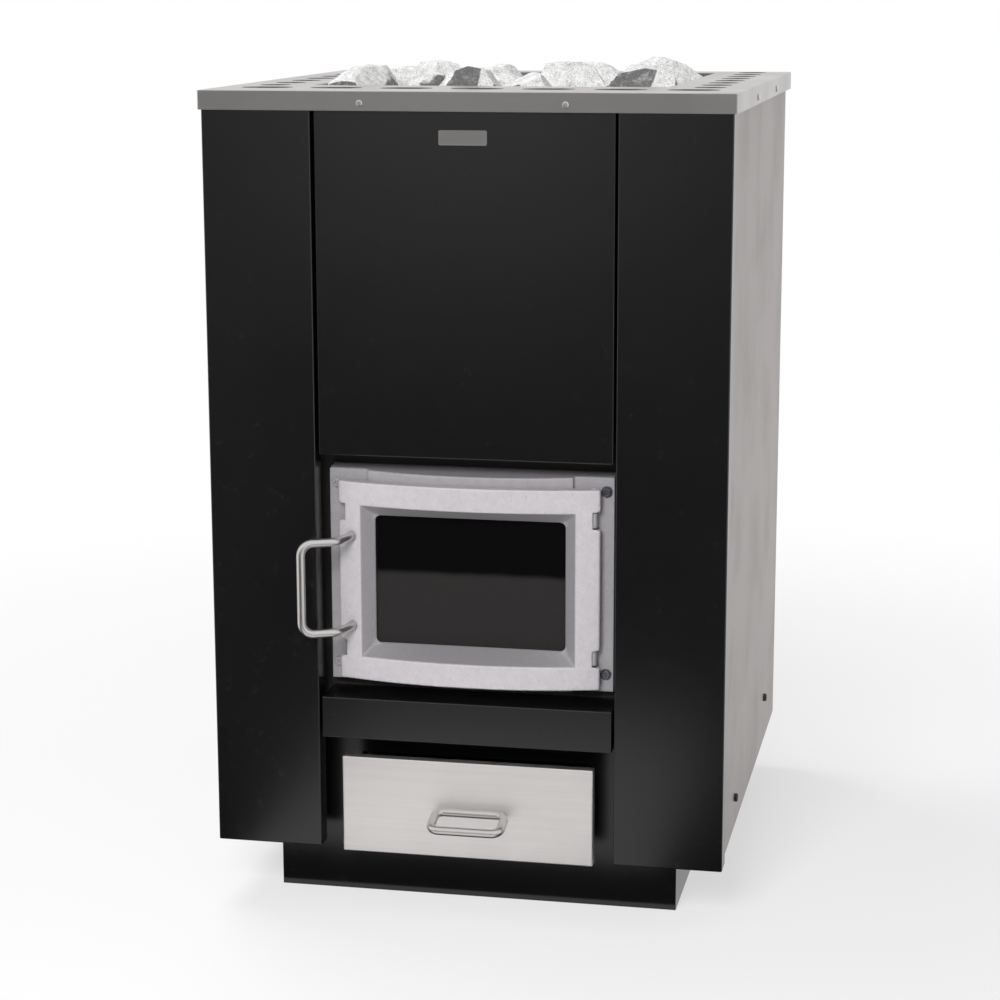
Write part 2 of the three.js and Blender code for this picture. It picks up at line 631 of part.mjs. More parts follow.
function doorCollar() {
  const lipRadius = DOOR_RADIUS - DOOR_THICKNESS - LIP_GAP;
  const lipHalf = windowWall.half;
  const lipEnd = DOOR_APEX + DOOR_RADIUS - Math.sqrt(lipRadius ** 2 - lipHalf ** 2);
  const cove = behind(Math.max(lipEnd + LIP_STEP, doorRear + LIP_GAP));
  const back = bodyFront - SEAT;
  const plan = new THREE.Shape();
  plan.moveTo(collarHalf, back);
  plan.lineTo(-collarHalf, back);
  plan.lineTo(-collarHalf, behind(flangeFace));
  plan.lineTo(-lipHalf - COVE_WIDTH, behind(flangeFace));
  plan.quadraticCurveTo(-lipHalf, behind(flangeFace), -lipHalf, cove);
  bowed(lipRadius, lipHalf, plan, false);
  plan.lineTo(lipHalf, cove);
  plan.quadraticCurveTo(lipHalf, behind(flangeFace), lipHalf + COVE_WIDTH, behind(flangeFace));
  plan.lineTo(collarHalf, behind(flangeFace));
  plan.closePath();
  const casting = raise(plan, [collarBottom, collarTop], FACETS);
  const mouth = block([-throat.half, throat.half], [behind(0), FAR],
    [doorMiddle - throat.halfHeight, doorMiddle + throat.halfHeight]);
  const lugs = lugLow.flatMap((low) => {
    const z = [low + POCKET_PLAY, low + LUG_HEIGHT - SEAT];
    return [
      raise(circle(hinge.x, hinge.y, LUG_RADIUS), z),
      block([hinge.x - LUG_WEB / 2, hinge.x + LUG_WEB / 2], [hinge.y, behind(flangeFace + SHEET)], z),
    ];
  });
  const bores = lugLow.map((low) =>
    raise(circle(hinge.x, hinge.y, PIN_RADIUS + PIN_CLEARANCE), [low, low + LUG_HEIGHT]));
  return cut(join(cut(casting, mouth), ...lugs), ...bores, ...holesFor(COLLAR_SCREW, collarScrews));
}

function hingePin(low) {
  return raise(circle(hinge.x, hinge.y, PIN_RADIUS), [low - PIN_GRIP, low + LUG_HEIGHT + PIN_GRIP]);
}

const doorway = assembly();
piece(doorway, 'door_collar', doorCollar(), silverCasting);
piece(doorway, 'lower_hinge_pin', hingePin(lugLow[0]), darkSteel);
piece(doorway, 'upper_hinge_pin', hingePin(lugLow[1]), darkSteel);
for (const { name, place, outward } of collarScrews) {
  piece(doorway, name, screw(COLLAR_SCREW, place, outward), darkSteel);
}

// Fire door

function rectangle(half, halfHeight) {
  const z = [doorMiddle - halfHeight, doorMiddle + halfHeight];
  return outline([[-half, z[0]], [half, z[0]], [half, z[1]], [-half, z[1]]]);
}

// Bevelled window opening: from its outline on the bowed face back to the smaller glass edge
function windowCutter() {
  const geometry = new THREE.BoxGeometry(2, 2, 2, 2 * FACETS, 1, 1);
  const position = geometry.attributes.position;
  for (let i = 0; i < position.count; i += 1) {
    const across = position.getX(i);
    const up = position.getZ(i);
    const x = across * (windowHalf + WINDOW_BEVEL);
    const z = up * (windowHalfHeight + WINDOW_BEVEL);
    const onFace = new THREE.Vector3(x, behind(doorFace(x)), doorMiddle + z);
    const point = new THREE.Vector3(across * windowHalf, behind(bevelBack), up * windowHalfHeight);
    point.z += doorMiddle;
    if (position.getY(i) < 0) point.lerp(onFace, 1.2);
    position.setXYZ(i, point.x, point.y, point.z);
  }
  return geometry;
}

// Unit vector out of the door's bowed face at a place across it
function faceNormal(x) {
  const lean = Math.asin(x / DOOR_RADIUS);
  return new THREE.Vector3(Math.sin(lean), -Math.cos(lean), 0);
}

const handleX = HANDLE_INSET - doorHalf;
const handleNormal = faceNormal(handleX);
const handleFoot = (z) => new THREE.Vector3(handleX, behind(doorFace(handleX)), z);
const nutDepth = doorRear - doorFace(handleX) - NUT_SEAT_DEPTH;
const nutSeat = (z) => handleFoot(z).addScaledVector(handleNormal, -nutDepth);

function doorFrame() {
  const webHalf = windowWall.half + LIP_STEP;
  const rearRadius = DOOR_RADIUS - DOOR_THICKNESS;
  const plan = new THREE.Shape();
  bowed(DOOR_RADIUS, doorHalf, plan, false);
  plan.lineTo(doorHalf, behind(doorRear - DOOR_CHAMFER));
  plan.lineTo(doorHalf - DOOR_CHAMFER, behind(doorRear));
  plan.lineTo(webHalf, behind(doorRear));
  bowed(rearRadius, webHalf, plan, true);
  plan.lineTo(-webHalf, behind(doorRear));
  plan.lineTo(DOOR_CHAMFER - doorHalf, behind(doorRear));
  plan.lineTo(-doorHalf, behind(doorRear - DOOR_CHAMFER));
  plan.closePath();
  const shell = raise(plan, [doorBottom, doorTop], FACETS);
  const wallFront = doorFace(windowWall.half) + SHEET;
  const wall = alongY(rectangle(windowWall.half, windowWall.halfHeight),
    [behind(wallFront), behind(glassBack)]);
  const glassSeat = alongY(
    rectangle(windowHalf + GLASS_LAP + SEAT, windowHalfHeight + GLASS_LAP + SEAT),
    [behind(bevelBack + WINDOW_LAND), behind(glassBack + SHEET)],
  );
  const sight = alongY(rectangle(windowHalf, windowHalfHeight),
    [behind(bevelBack - SHEET), behind(glassBack)]);
  const pockets = lugLow.flatMap((low) => sides.map(([, sign]) => block(
    span(sign, doorHalf - POCKET_DEPTH, doorHalf + SHEET),
    [behind(doorEdge - POCKET_SKIN), behind(doorRear + SHEET)],
    [low, low + LUG_HEIGHT],
  )));
  const pinHoles = [
    [doorBottom - SHEET, lugLow[0] + LUG_HEIGHT + PIN_GRIP + SEAT],
    [lugLow[1] - PIN_GRIP - SEAT, doorTop + SHEET],
  ].map((z) => raise(circle(hinge.x, hinge.y, PIN_RADIUS + PIN_CLEARANCE), z));
  const inward = handleNormal.clone().negate();
  const studHoles = handleFeet.flatMap((z) => {
    const outside = handleFoot(z).addScaledVector(handleNormal, SHEET);
    return [
      bar(outside, inward, 3 * STUD_LENGTH, HANDLE_STUD + SCREW_HOLE_PLAY),
      bar(nutSeat(z), inward, 2 * STUD_LENGTH, NUT_SEAT_RADIUS),
    ];
  });
  return cut(join(shell, wall), windowCutter(), glassSeat, sight, ...pockets, ...pinHoles, ...studHoles);
}

function doorGlass() {
  return alongY(rectangle(windowHalf + GLASS_LAP, windowHalfHeight + GLASS_LAP),
    [behind(glassFront), behind(glassBack) - SEAT]);
}

function glassGasket() {
  const shape = rectangle(windowHalf + GLASS_LAP, windowHalfHeight + GLASS_LAP);
  shape.holes.push(rectangle(windowHalf + SHEET, windowHalfHeight + SHEET));
  return alongY(shape, [behind(gasketFront), behind(gasketFront + GASKET_THICKNESS)]);
}

function glassClip(sign) {
  const edge = windowHalfHeight + GLASS_LAP;
  const z = [edge - CLIP_LAP, windowWall.halfHeight].map((reach) => doorMiddle + sign * reach);
  return block([-CLIP_LENGTH / 2, CLIP_LENGTH / 2],
    [behind(glassBack) + SEAT, behind(glassBack) + SEAT + CLIP_THICKNESS], z.sort((a, b) => a - b));
}

function doorHandle() {
  const elbow = (z) => handleFoot(z).addScaledVector(handleNormal, HANDLE_STANDOFF);
  const grip = (z) => elbow(z).add(new THREE.Vector3(-HANDLE_SWEEP, -HANDLE_ADVANCE, 0));
  const seat = (z) => handleFoot(z).addScaledVector(handleNormal, SEAT);
  const [high, low] = handleFeet;
  const corners = [seat(high), elbow(high), grip(high), grip(low), elbow(low), seat(low)];
  const path = roundedPath(corners, HANDLE_BEND);
  const inward = handleNormal.clone().negate();
  const studs = handleFeet.map((z) => {
    const start = seat(z).addScaledVector(handleNormal, SEAT);
    return bar(start, inward, STUD_LENGTH, HANDLE_STUD);
  });
  return join(rod(path, ROD_RADIUS, 44), ...studs);
}

function handleNut(z) {
  const start = nutSeat(z).addScaledVector(handleNormal, -SEAT);
  const inward = handleNormal.clone().negate();
  const bore = HANDLE_STUD + SEAT;
  return cut(bar(start, inward, NUT_HEIGHT, NUT_RADIUS, 6),
    bar(start.clone().addScaledVector(handleNormal, SHEET), inward, NUT_HEIGHT + 2 * SHEET, bore));
}

const door = assembly();
piece(door, 'door_frame', doorFrame(), silverCasting);
piece(door, 'door_glass', doorGlass(), sootGlass);
piece(door, 'glass_gasket', glassGasket(), fibreGasket);
piece(door, 'upper_glass_clip', glassClip(1), darkSteel);
piece(door, 'lower_glass_clip', glassClip(-1), darkSteel);
piece(door, 'door_handle', doorHandle(), brightRod);
piece(door, 'upper_handle_nut', handleNut(handleFeet[0]), darkSteel);
piece(door, 'lower_handle_nut', handleNut(handleFeet[1]), darkSteel);

// Ash drawer and its runners

function drawerBody() {
  const { half, front, back, bottom, top } = drawerBox;
  return cut(block([-half, half], [front, back], [bottom, top]),
    block([DRAWER_WALL - half, half - DRAWER_WALL], [front + DRAWER_WALL, back - DRAWER_WALL],
      [bottom + DRAWER_WALL, FAR]));
}

function drawerFront() {
  const half = DRAWER_WIDTH / 2;
  const face = behind(DRAWER_RECESS);
  return cut(block([-half, half], [face, face + DRAWER_FOLD], [DRAWER_BOTTOM, drawerTop]),
    block([SHEET - half, half - SHEET], [face + SHEET, FAR], [DRAWER_BOTTOM + SHEET, drawerTop - SHEET]));
}

// Closed loop of rod, welded to the front along its rear bar
function drawerHandle() {
  const rear = behind(DRAWER_RECESS) - SEAT - ROD_RADIUS;
  const high = DRAWER_BOTTOM + PULL_ABOVE_BOTTOM;
  const low = high - PULL_DROOP;
  const front = behind(DRAWER_RECESS) - PULL_REACH;
  const halves = sides.map(([, sign]) => {
    const x = PULL_OFFSET + sign * PULL_WIDTH / 2;
    const middle = PULL_OFFSET - sign * SEAT;
    const points = [[middle, rear, high], [x, rear, high], [x, front, low], [middle, front, low]];
    return rod(roundedPath(points.map((p) => new THREE.Vector3(...p)), PULL_BEND), ROD_RADIUS, 22);
  });
  return join(...halves);
}

function drawerRunner(sign) {
  const shelf = drawerBox.bottom - SEAT;
  const outer = drawerBox.half + SEAT + RUNNER_SHEET;
  const inner = outer - RUNNER_SHELF;
  const profile = [
    [outer, PLATE + SEAT], [outer, shelf + RUNNER_GUIDE], [outer - RUNNER_SHEET, shelf + RUNNER_GUIDE],
    [outer - RUNNER_SHEET, shelf], [inner, shelf], [inner, shelf - RUNNER_SHEET],
    [outer - RUNNER_SHEET, shelf - RUNNER_SHEET], [outer - RUNNER_SHEET, PLATE + SEAT],
  ];
  const shape = outline(profile.map(([x, z]) => [sign * x, z]));
  return alongY(shape, [bodyFront + PLATE + SEAT, bodyBack - PLATE - SEAT]);
}

const drawer = assembly();
piece(drawer, 'ash_drawer_box', drawerBody(), darkSteel);
piece(drawer, 'ash_drawer_front', drawerFront(), stainless);
piece(drawer, 'ash_drawer_handle', drawerHandle(), brightRod);
for (const [side, sign] of sides) {
  piece(body, `${side}_drawer_runner`, drawerRunner(sign), darkSteel);
}

// Stone bin and stones

function stoneBin() {
  const half = opening.half + BIN_WALL;
  const y = [opening.front - BIN_WALL, opening.back + BIN_WALL];
  return cut(block([-half, half], y, [binFloor, panelTop]),
    block([-opening.half, opening.half], [opening.front, opening.back], [binFloor + BIN_WALL, FAR]));
}

// The packed stones below the loose upper layer
function lowerStones() {
  return block([SEAT - opening.half, opening.half - SEAT], [opening.front + SEAT, opening.back - SEAT],
    [binFloor + BIN_WALL + SEAT, bedTop]);
}

// Repeatable scatter between 0 and 1
function scatter(seed) {
  const value = Math.sin(seed * 12.9898 + 4.1414) * 43758.5453;
  return value - Math.floor(value);
}

const cell = {
  x: (2 * opening.half) / STONE_COLUMNS,
  y: (opening.back - opening.front) / STONE_ROWS,
};

const stoneSpots = Array.from({ length: STONE_COLUMNS * STONE_ROWS }, (_, i) => {
  const column = i % STONE_COLUMNS;
  const row = Math.floor(i / STONE_COLUMNS);
  return {
    x: -opening.half + (column + 0.5 + 0.3 * (scatter(i) - 0.5)) * cell.x,
    y: opening.front + (row + 0.5 + 0.3 * (scatter(i + 50) - 0.5)) * cell.y,
    peak: CASE_HEIGHT + STONE_PROUD * (0.3 + 0.7 * scatter(i + 100)),
  };
});

// A broken stone: a dented ball with flat breaks, cut halfway to each neighbour
function stone(index) {
  const spot = stoneSpots[index];
  const ball = new THREE.IcosahedronGeometry(1, 1);
  ball.deleteAttribute('normal');
  ball.deleteAttribute('uv');
  const rough = mergeVertices(ball, 1e-3);
  const position = rough.attributes.position;
  for (let i = 0; i < position.count; i += 1) {
    const point = new THREE.Vector3().fromBufferAttribute(position, i);
    point.multiplyScalar(0.86 + 0.28 * scatter(index * 61 + i));
    position.setXYZ(i, point.x, point.y, point.z);
  }
  const height = spot.peak - bedTop;
  rough.scale(cell.x * 0.72, cell.y * 0.68, height * 0.62);
  rough.translate(spot.x, spot.y, bedTop + height * 0.42);
  let body = solid(rough);
  for (let k = 0; k < 4; k += 1) {
    const turn = 2 * Math.PI * (k + scatter(index * 7 + k)) / 4;
    const rise = 0.5 + 0.6 * scatter(index * 11 + k);
    const normal = new THREE.Vector3(-Math.cos(turn), -Math.sin(turn), -rise).normalize();
    const centre = new THREE.Vector3(spot.x, spot.y, bedTop + height * 0.42);
    body = body.trimByPlane(normal.toArray(), normal.dot(centre) - height * 0.5);
  }
  stoneSpots.forEach((other, i) => {
    if (i === index) return;
    const away = new THREE.Vector3(spot.x - other.x, spot.y - other.y, 0);
    const middle = new THREE.Vector3((spot.x + other.x) / 2, (spot.y + other.y) / 2, 0);
    away.normalize();
    body = body.trimByPlane(away.toArray(), away.dot(middle) + SEAT / 2);
  });
  const space = block([SEAT - opening.half, opening.half - SEAT], [opening.front + SEAT, opening.back - SEAT],
    [bedTop + SEAT, spot.peak]);
  return surface(body.intersect(solid(space)));
}

const stones = assembly();
piece(stones, 'stone_bin', stoneBin(), darkSteel);
piece(stones, 'lower_stones', lowerStones(), greyStone);
for (let i = 0; i < stoneSpots.length; i += 1) {
  piece(stones, `stone_${String(i + 1).padStart(2, '0')}`, stone(i), greyStone);
}

export default stove;
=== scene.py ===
import json
import math
import random

import bmesh
import bpy
from bpy.props import FloatProperty, FloatVectorProperty, IntProperty, PointerProperty
from mathutils import Matrix, Vector
from mathutils.bvhtree import BVHTree


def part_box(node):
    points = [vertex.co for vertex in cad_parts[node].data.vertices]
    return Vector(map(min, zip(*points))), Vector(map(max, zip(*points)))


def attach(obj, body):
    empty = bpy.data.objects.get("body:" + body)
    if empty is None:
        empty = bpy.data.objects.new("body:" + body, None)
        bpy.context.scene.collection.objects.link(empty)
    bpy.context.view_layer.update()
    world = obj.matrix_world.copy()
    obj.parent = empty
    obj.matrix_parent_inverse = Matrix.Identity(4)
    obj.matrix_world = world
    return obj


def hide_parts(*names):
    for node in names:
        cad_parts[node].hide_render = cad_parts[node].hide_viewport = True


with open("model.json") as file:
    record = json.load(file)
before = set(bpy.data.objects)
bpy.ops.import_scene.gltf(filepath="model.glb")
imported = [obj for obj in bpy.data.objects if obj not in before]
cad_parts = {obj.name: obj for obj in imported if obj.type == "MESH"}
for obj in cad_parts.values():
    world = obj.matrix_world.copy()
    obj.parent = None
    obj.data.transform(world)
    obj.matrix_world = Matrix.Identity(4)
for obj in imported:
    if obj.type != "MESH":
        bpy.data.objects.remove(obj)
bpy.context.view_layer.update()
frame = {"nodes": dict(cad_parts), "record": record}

bl_info = {
    "name": "Wood-burning sauna heater",
    "version": (1, 0, 0),
    "blender": (4, 5, 0),
    "location": "View3D > Sidebar > Sauna heater",
    "description":
        "Finishes the packed sauna heater: folded casing, cast door, rods, screws and stones",
    "category": "Object",
}

# Axes, the sides of a box as an axis and a sign, and directions
X, Y, Z = 0, 1, 2
LEFT, RIGHT, REAR, UNDER, TOP = (X, -1), (X, 1), (Y, 1), (Z, -1), (Z, 1)
UP = Vector((0, 0, 1))
OUTWARD = {"front": Vector((0, -1, 0)), "left": Vector((-1, 0, 0)), "right": Vector((1, 0, 0))}

record = frame["record"]
body_of_node = {
    node: body for body, nodes in record["behaviour"]["bodies"].items() for node in nodes}


def find_slots(part):
    """The material slot of each node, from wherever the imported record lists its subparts."""
    if isinstance(part, dict):
        if isinstance(part.get("subparts"), list):
            return {item["node"]: item["material_slot"] for item in part["subparts"]}
        part = list(part.values())
    for item in part if isinstance(part, list) else ():
        found = find_slots(item)
        if found:
            return found
    return {}


slot_of_node = find_slots(record)


# Settings

def colour_setting(name, description, default):
    return FloatVectorProperty(
        name=name, description=description, default=default, size=3, min=0, max=1,
        subtype="COLOR")


def length_setting(name, description, default):
    return FloatProperty(
        name=name, description=description, default=default, min=0, precision=5, unit="LENGTH")


def power_setting(name, description, default):
    return FloatProperty(
        name=name, description=description, default=default, min=0, unit="POWER")


class StoveSizes(bpy.types.PropertyGroup):
    """Sizes of the details that the frame's solids leave out."""

    fold_radius: length_setting(
        "Fold radius", "Outside radius of the folds in the casing sheet", 0.0016)
    frame_fold: length_setting(
        "Top fold", "Outside radius of the folds in the top frame", 0.0024)
    sheet_edge: length_setting(
        "Sheet edge", "Rounding of the cut edges of sheet", 0.0002)
    plate_edge: length_setting(
        "Plate edge", "Rounding of the edges of the welded plate", 0.0007)
    grate_edge: length_setting(
        "Grate edge", "Rounding of the edges of the grate", 0.0016)
    cast_voxel: length_setting(
        "Casting detail", "Size of the faces that the castings are made of", 0.00132)
    window_inset: length_setting(
        "Window inset", "From the door's edges to the glass opening", 0.0415)
    window_bevel: length_setting(
        "Window bevel", "Width of the bevel round the glass opening", 0.0145)
    window_corner: length_setting(
        "Window corner", "Radius of the glass opening's corners", 0.0046)
    rod: length_setting(
        "Rod radius", "Radius of the rod of both handles", 0.005)
    rod_bend: length_setting(
        "Rod bend", "Centre-line radius of the bends in the door handle", 0.014)
    pull_bend: length_setting(
        "Pull bend", "Centre-line radius of the bends in the drawer handle", 0.0105)
    weld: length_setting(
        "Weld bead", "Radius of the weld beads at the door handle", 0.0007)
    stone_edge: length_setting(
        "Stone edge", "Rounding of the stones' broken edges", 0.0006)
    stone_voxel: length_setting(
        "Stone detail", "Size of the faces that a stone is made of", 0.0018)
    filler: length_setting(
        "Filler stone", "Largest radius of the small stones between the others", 0.03)
    fillers: IntProperty(
        name="Filler stones", description="How many small stones lie between the others",
        default=26, min=0)


class StoveColours(bpy.types.PropertyGroup):
    """Base colours of the finishes."""

    paint: colour_setting(
        "Black paint", "Satin paint of the front and the base", (0.0038, 0.0034, 0.004))
    steel: colour_setting(
        "Stainless", "Brushed sheet of the top and the drawer", (0.56, 0.54, 0.532))
    side: colour_setting(
        # Painted shade and reflection: the top's stainless made darker and warmer for the sides
        # and the back
        "Side sheet", "Brushed sheet of the sides and the back", (0.292, 0.267, 0.259))
    rod: colour_setting(
        "Rod", "Polished rod of the handles", (0.6, 0.585, 0.575))
    casting: colour_setting(
        "Casting", "Silver paint of the door and its collar", (0.592, 0.566, 0.594))
    dark: colour_setting(
        "Dark steel", "Blackened steel of screws and inner parts", (0.042, 0.039, 0.037))
    iron: colour_setting(
        "Grate iron", "Bare cast iron of the grate", (0.03, 0.027, 0.025))
    glass: colour_setting(
        "Glass", "Smoked tint of the window", (0.0025, 0.0025, 0.0026))
    # Painted reflection: the lighter grey of the glass's lower half
    haze: colour_setting(
        "Reflection", "Grey haze on the lower half of the glass", (0.03, 0.028, 0.0275))
    fibre: colour_setting(
        "Gasket", "Woven glass-fibre gasket", (0.15, 0.144, 0.133))
    stone: colour_setting(
        "Stone", "Pale ground of the stones", (0.76, 0.76, 0.755))
    fleck: colour_setting(
        "Stone flecks", "Dark mineral in the stones", (0.055, 0.054, 0.056))


class StoveStage(bpy.types.PropertyGroup):
    """Floor, lamps and camera."""

    floor: colour_setting("Floor", "Colour of the floor", (0.82, 0.82, 0.82))
    ambient: FloatProperty(
        name="Ambient", description="Strength of the light from all round", default=0.35, min=0)
    key: power_setting("Key", "Power of the lamp near the camera", 96)
    top: power_setting("Top", "Power of the lamp overhead", 42)
    side: power_setting("Side", "Power of the lamp at the right", 5)
    lens: FloatProperty(
        name="Lens", description="Focal length in millimetres", default=89.96, min=1)
    eye: FloatVectorProperty(
        name="Camera place", description="Where the camera stands",
        default=(0.5842, -3.0014, 1.0609), size=3, subtype="TRANSLATION", unit="LENGTH")
    turn: FloatVectorProperty(
        name="Camera turn", description="Tilt down, roll and turn to the left",
        default=(0.205, -0.002, 0.2), size=3, subtype="EULER", unit="ROTATION")


# Finishes

# Colours of marks, of painted light and shade, and of parts that show little
DUST = (0.2, 0.19, 0.185)
RUBBED_STEEL = (0.14, 0.135, 0.13)
# The screws' colours are lightened in part as a painted glint on their heads
SCREW_OILED, SCREW_RUBBED_GLINT = (0.13, 0.135, 0.16), (0.55, 0.56, 0.6)
MILL_DEEP, MILL_LIGHT = (0.2, 0.195, 0.19), (0.33, 0.325, 0.32)
MILL_RUST, MILL_BLACK_AND_SHADE = (0.13, 0.115, 0.105), (0.011, 0.0105, 0.0105)
SOOT_DEEP, SOOT_LIGHT = (0.012, 0.0115, 0.011), (0.034, 0.032, 0.03)
FIREBOX_LOW_PALE, GRATE_ASH = (0.19, 0.182, 0.172), (0.17, 0.163, 0.155)
CLOTH = (0.012, 0.012, 0.012)
WHITE = (1, 1, 1)

# Places where a finish changes, in metres
LOW_PALE_HEIGHTS = (0.34, 0.21)      # from none to all
# Heights where the glass goes from its painted reflection, a lighter grey, to the plain smoked
# tint
REFLECTION_HEIGHTS = (0.394, 0.404)  # from haze to smoke
# Painted shade: the bin's outside is black so that the holes in the top show dark
BIN_SHADE_DEPTHS = (0.0016, 0.001)    # below the bin's outside, from bare to black
# Painted shade on the door's window bevel, which turns away from the light
BEVEL_SHADE_DEPTHS = (-0.0002, 0.0014)  # inside the bevel's outer line, from none to all

# Grain of brushed sheet: how fast the pattern changes along each axis
SIDE_GRAIN = (1500, 1500, 14)
FRAME_GRAIN = (14, 1500, 1500)
DRAWER_GRAIN = (12, 1500, 1500)
PLATE_GRAIN = (20, 2500, 2500)
STREAK_GRAIN = (320, 320, 18)
BAND_SHARE = 0.09       # of that, for the wide bands between the lines


class Socket:
    """An output of a finish's nodes. Arithmetic on it adds Math nodes."""

    def __init__(self, finish, output):
        self.finish, self.output = finish, output

    def math(self, operation, first, second):
        return self.finish.add("ShaderNodeMath", {"operation": operation}, {0: first, 1: second})

    def __add__(self, other):
        return self.math("ADD", self, other)

    def __radd__(self, other):
        return self.math("ADD", other, self)

    def __sub__(self, other):
        return self.math("SUBTRACT", self, other)

    def __rsub__(self, other):
        return self.math("SUBTRACT", other, self)

    def __mul__(self, other):
        return self.math("MULTIPLY", self, other)

    def __rmul__(self, other):
        return self.math("MULTIPLY", other, self)


class Finish:
    """A node material under construction, or a world."""

    def __init__(self, owner):
        owner.use_nodes = True
        self.owner, self.tree = owner, owner.node_tree
        self.tree.nodes.clear()

    def add(self, kind, settings=None, sockets=None, output=0):
        """Adds a node: its settings first, then the values or links of its sockets."""
        node = self.tree.nodes.new(kind)
        for key, value in (settings or {}).items():
            setattr(node, key, value)
        for key, value in (sockets or {}).items():
            if isinstance(value, Socket):
                self.tree.links.new(value.output, node.inputs[key])
            elif node.inputs[key].type == "RGBA":
                node.inputs[key].default_value = (*value[:3], 1)
            else:
                node.inputs[key].default_value = value
        return Socket(self, node.outputs[output]) if len(node.outputs) else None

    def place(self, scale=(1, 1, 1)):
        spot = self.add("ShaderNodeTexCoord", output="Object")
        return self.add("ShaderNodeMapping", {}, {"Vector": spot, "Scale": scale})

    def axis(self, name):
        spot = self.add("ShaderNodeTexCoord", output="Object")
        return self.add("ShaderNodeSeparateXYZ", {}, {0: spot}, name)

    def noise(self, place, scale, detail=2, rough=0.5, twist=0):
        return self.add("ShaderNodeTexNoise", {}, {
            "Vector": place, "Scale": scale, "Detail": detail, "Roughness": rough,
            "Distortion": twist})

    def cells(self, place, scale):
        return self.add("ShaderNodeTexVoronoi", {}, {"Vector": place, "Scale": scale})

    def span(self, value, start, end, low=0, high=1):
        """A smooth step from low at start to high at end."""
        return self.add("ShaderNodeMapRange", {"interpolation_type": "SMOOTHSTEP"}, {
            "Value": value, "From Min": start, "From Max": end, "To Min": low, "To Max": high})

    def blend(self, share, first, second):
        return self.add(
            "ShaderNodeMix", {"data_type": "RGBA"}, {0: share, 6: first, 7: second}, 2)

    def bump(self, height, depth, strength, under=None):
        sockets = {"Height": height, "Distance": depth, "Strength": strength}
        if under:
            sockets["Normal"] = under
        return self.add("ShaderNodeBump", {}, sockets)

    def surface(self, **sockets):
        names = {"colour": "Base Color", "rough": "Roughness", "metal": "Metallic",
                 "alpha": "Alpha", "normal": "Normal", "gloss": "Specular IOR Level",
                 "ior": "IOR"}
        shader = self.add(
            "ShaderNodeBsdfPrincipled", {}, {names[key]: value for key, value in sockets.items()})
        self.add("ShaderNodeOutputMaterial", {}, {"Surface": shader})
        return self.owner


def least(first, *others):
    """The least of several sockets."""
    for other in others:
        first = first.math("MINIMUM", first, other)
    return first


def shade(colour, share):
    return tuple(min(1, channel * share) for channel in colour)


def black_paint(finish, colours):
    """Satin stove paint with a faint orange peel and a little dust."""
    place = finish.place()
    cloud = finish.noise(place, scale=5, detail=4, rough=0.55)
    peel = finish.noise(place, scale=850)
    dust = finish.span(finish.noise(place, scale=60, detail=6, rough=0.7), 0.52, 0.8)
    tone = finish.blend(cloud, shade(colours.paint, 0.8), shade(colours.paint, 1.2))
    tone = finish.blend(dust * 0.012, tone, DUST)
    rough = 0.2 + cloud * 0.06 + peel * 0.03 + dust * 0.05
    return finish.surface(
        colour=tone, rough=rough, metal=0, gloss=0.6,
        normal=finish.bump(peel, depth=0.00012, strength=0.35))


def brushed(finish, steel, grain, share, base_rough):
    """Brushed stainless sheet, its lines along the axis where the grain changes slowly."""
    hair = finish.noise(finish.place(grain), scale=1, detail=5, rough=0.6)
    wide_grain = tuple(part * BAND_SHARE for part in grain)
    band = finish.noise(finish.place(wide_grain), scale=1, detail=3, rough=0.55)
    smear = finish.noise(finish.place(), scale=7, detail=4, rough=0.6)
    light, deep = shade(steel, 1.05 * share), shade(steel, 0.95 * share)
    tone = finish.blend(finish.span(hair * 0.6 + band * 0.4, 0.25, 0.75), deep, light)
    tone = finish.blend(finish.span(smear, 0.45, 0.75) * 0.2, tone, shade(steel, 0.86 * share))
    rough = base_rough + hair * 0.1 + finish.span(smear, 0.4, 0.7) * 0.07
    return finish.surface(
        colour=tone, rough=rough, metal=1, normal=finish.bump(hair, depth=0.00003, strength=0.3))


# Painted shade and reflection: the sides and the back get a darker, warmer copy of the stainless
def shaded_side_steel(finish, colours):
    return brushed(finish, colours.side, SIDE_GRAIN, share=1, base_rough=0.36)


def frame_steel(finish, colours):
    return brushed(finish, colours.steel, FRAME_GRAIN, share=0.82, base_rough=0.28)


# Painted light: the stainless of the top, made about twice as bright for the drawer front
def lit_drawer_steel(finish, colours):
    return brushed(finish, colours.steel, DRAWER_GRAIN, share=1.62, base_rough=0.42)


def plate_steel(finish, colours):
    return brushed(finish, colours.steel, PLATE_GRAIN, share=0.8, base_rough=0.3)


def rod_steel(finish, colours):
    """Polished rod with fine drawing lines and a few handling marks."""
    place = finish.place()
    lines = finish.noise(place, scale=700, detail=3, rough=0.6)
    marks = finish.span(finish.noise(place, scale=130, detail=5, rough=0.65), 0.5, 0.75)
    tone = finish.blend(lines, shade(colours.rod, 0.88), shade(colours.rod, 1.1))
    rough = 0.27 + lines * 0.05 + marks * 0.05
    return finish.surface(
        colour=tone, rough=rough, metal=1,
        normal=finish.bump(lines, depth=0.00001, strength=0.2))


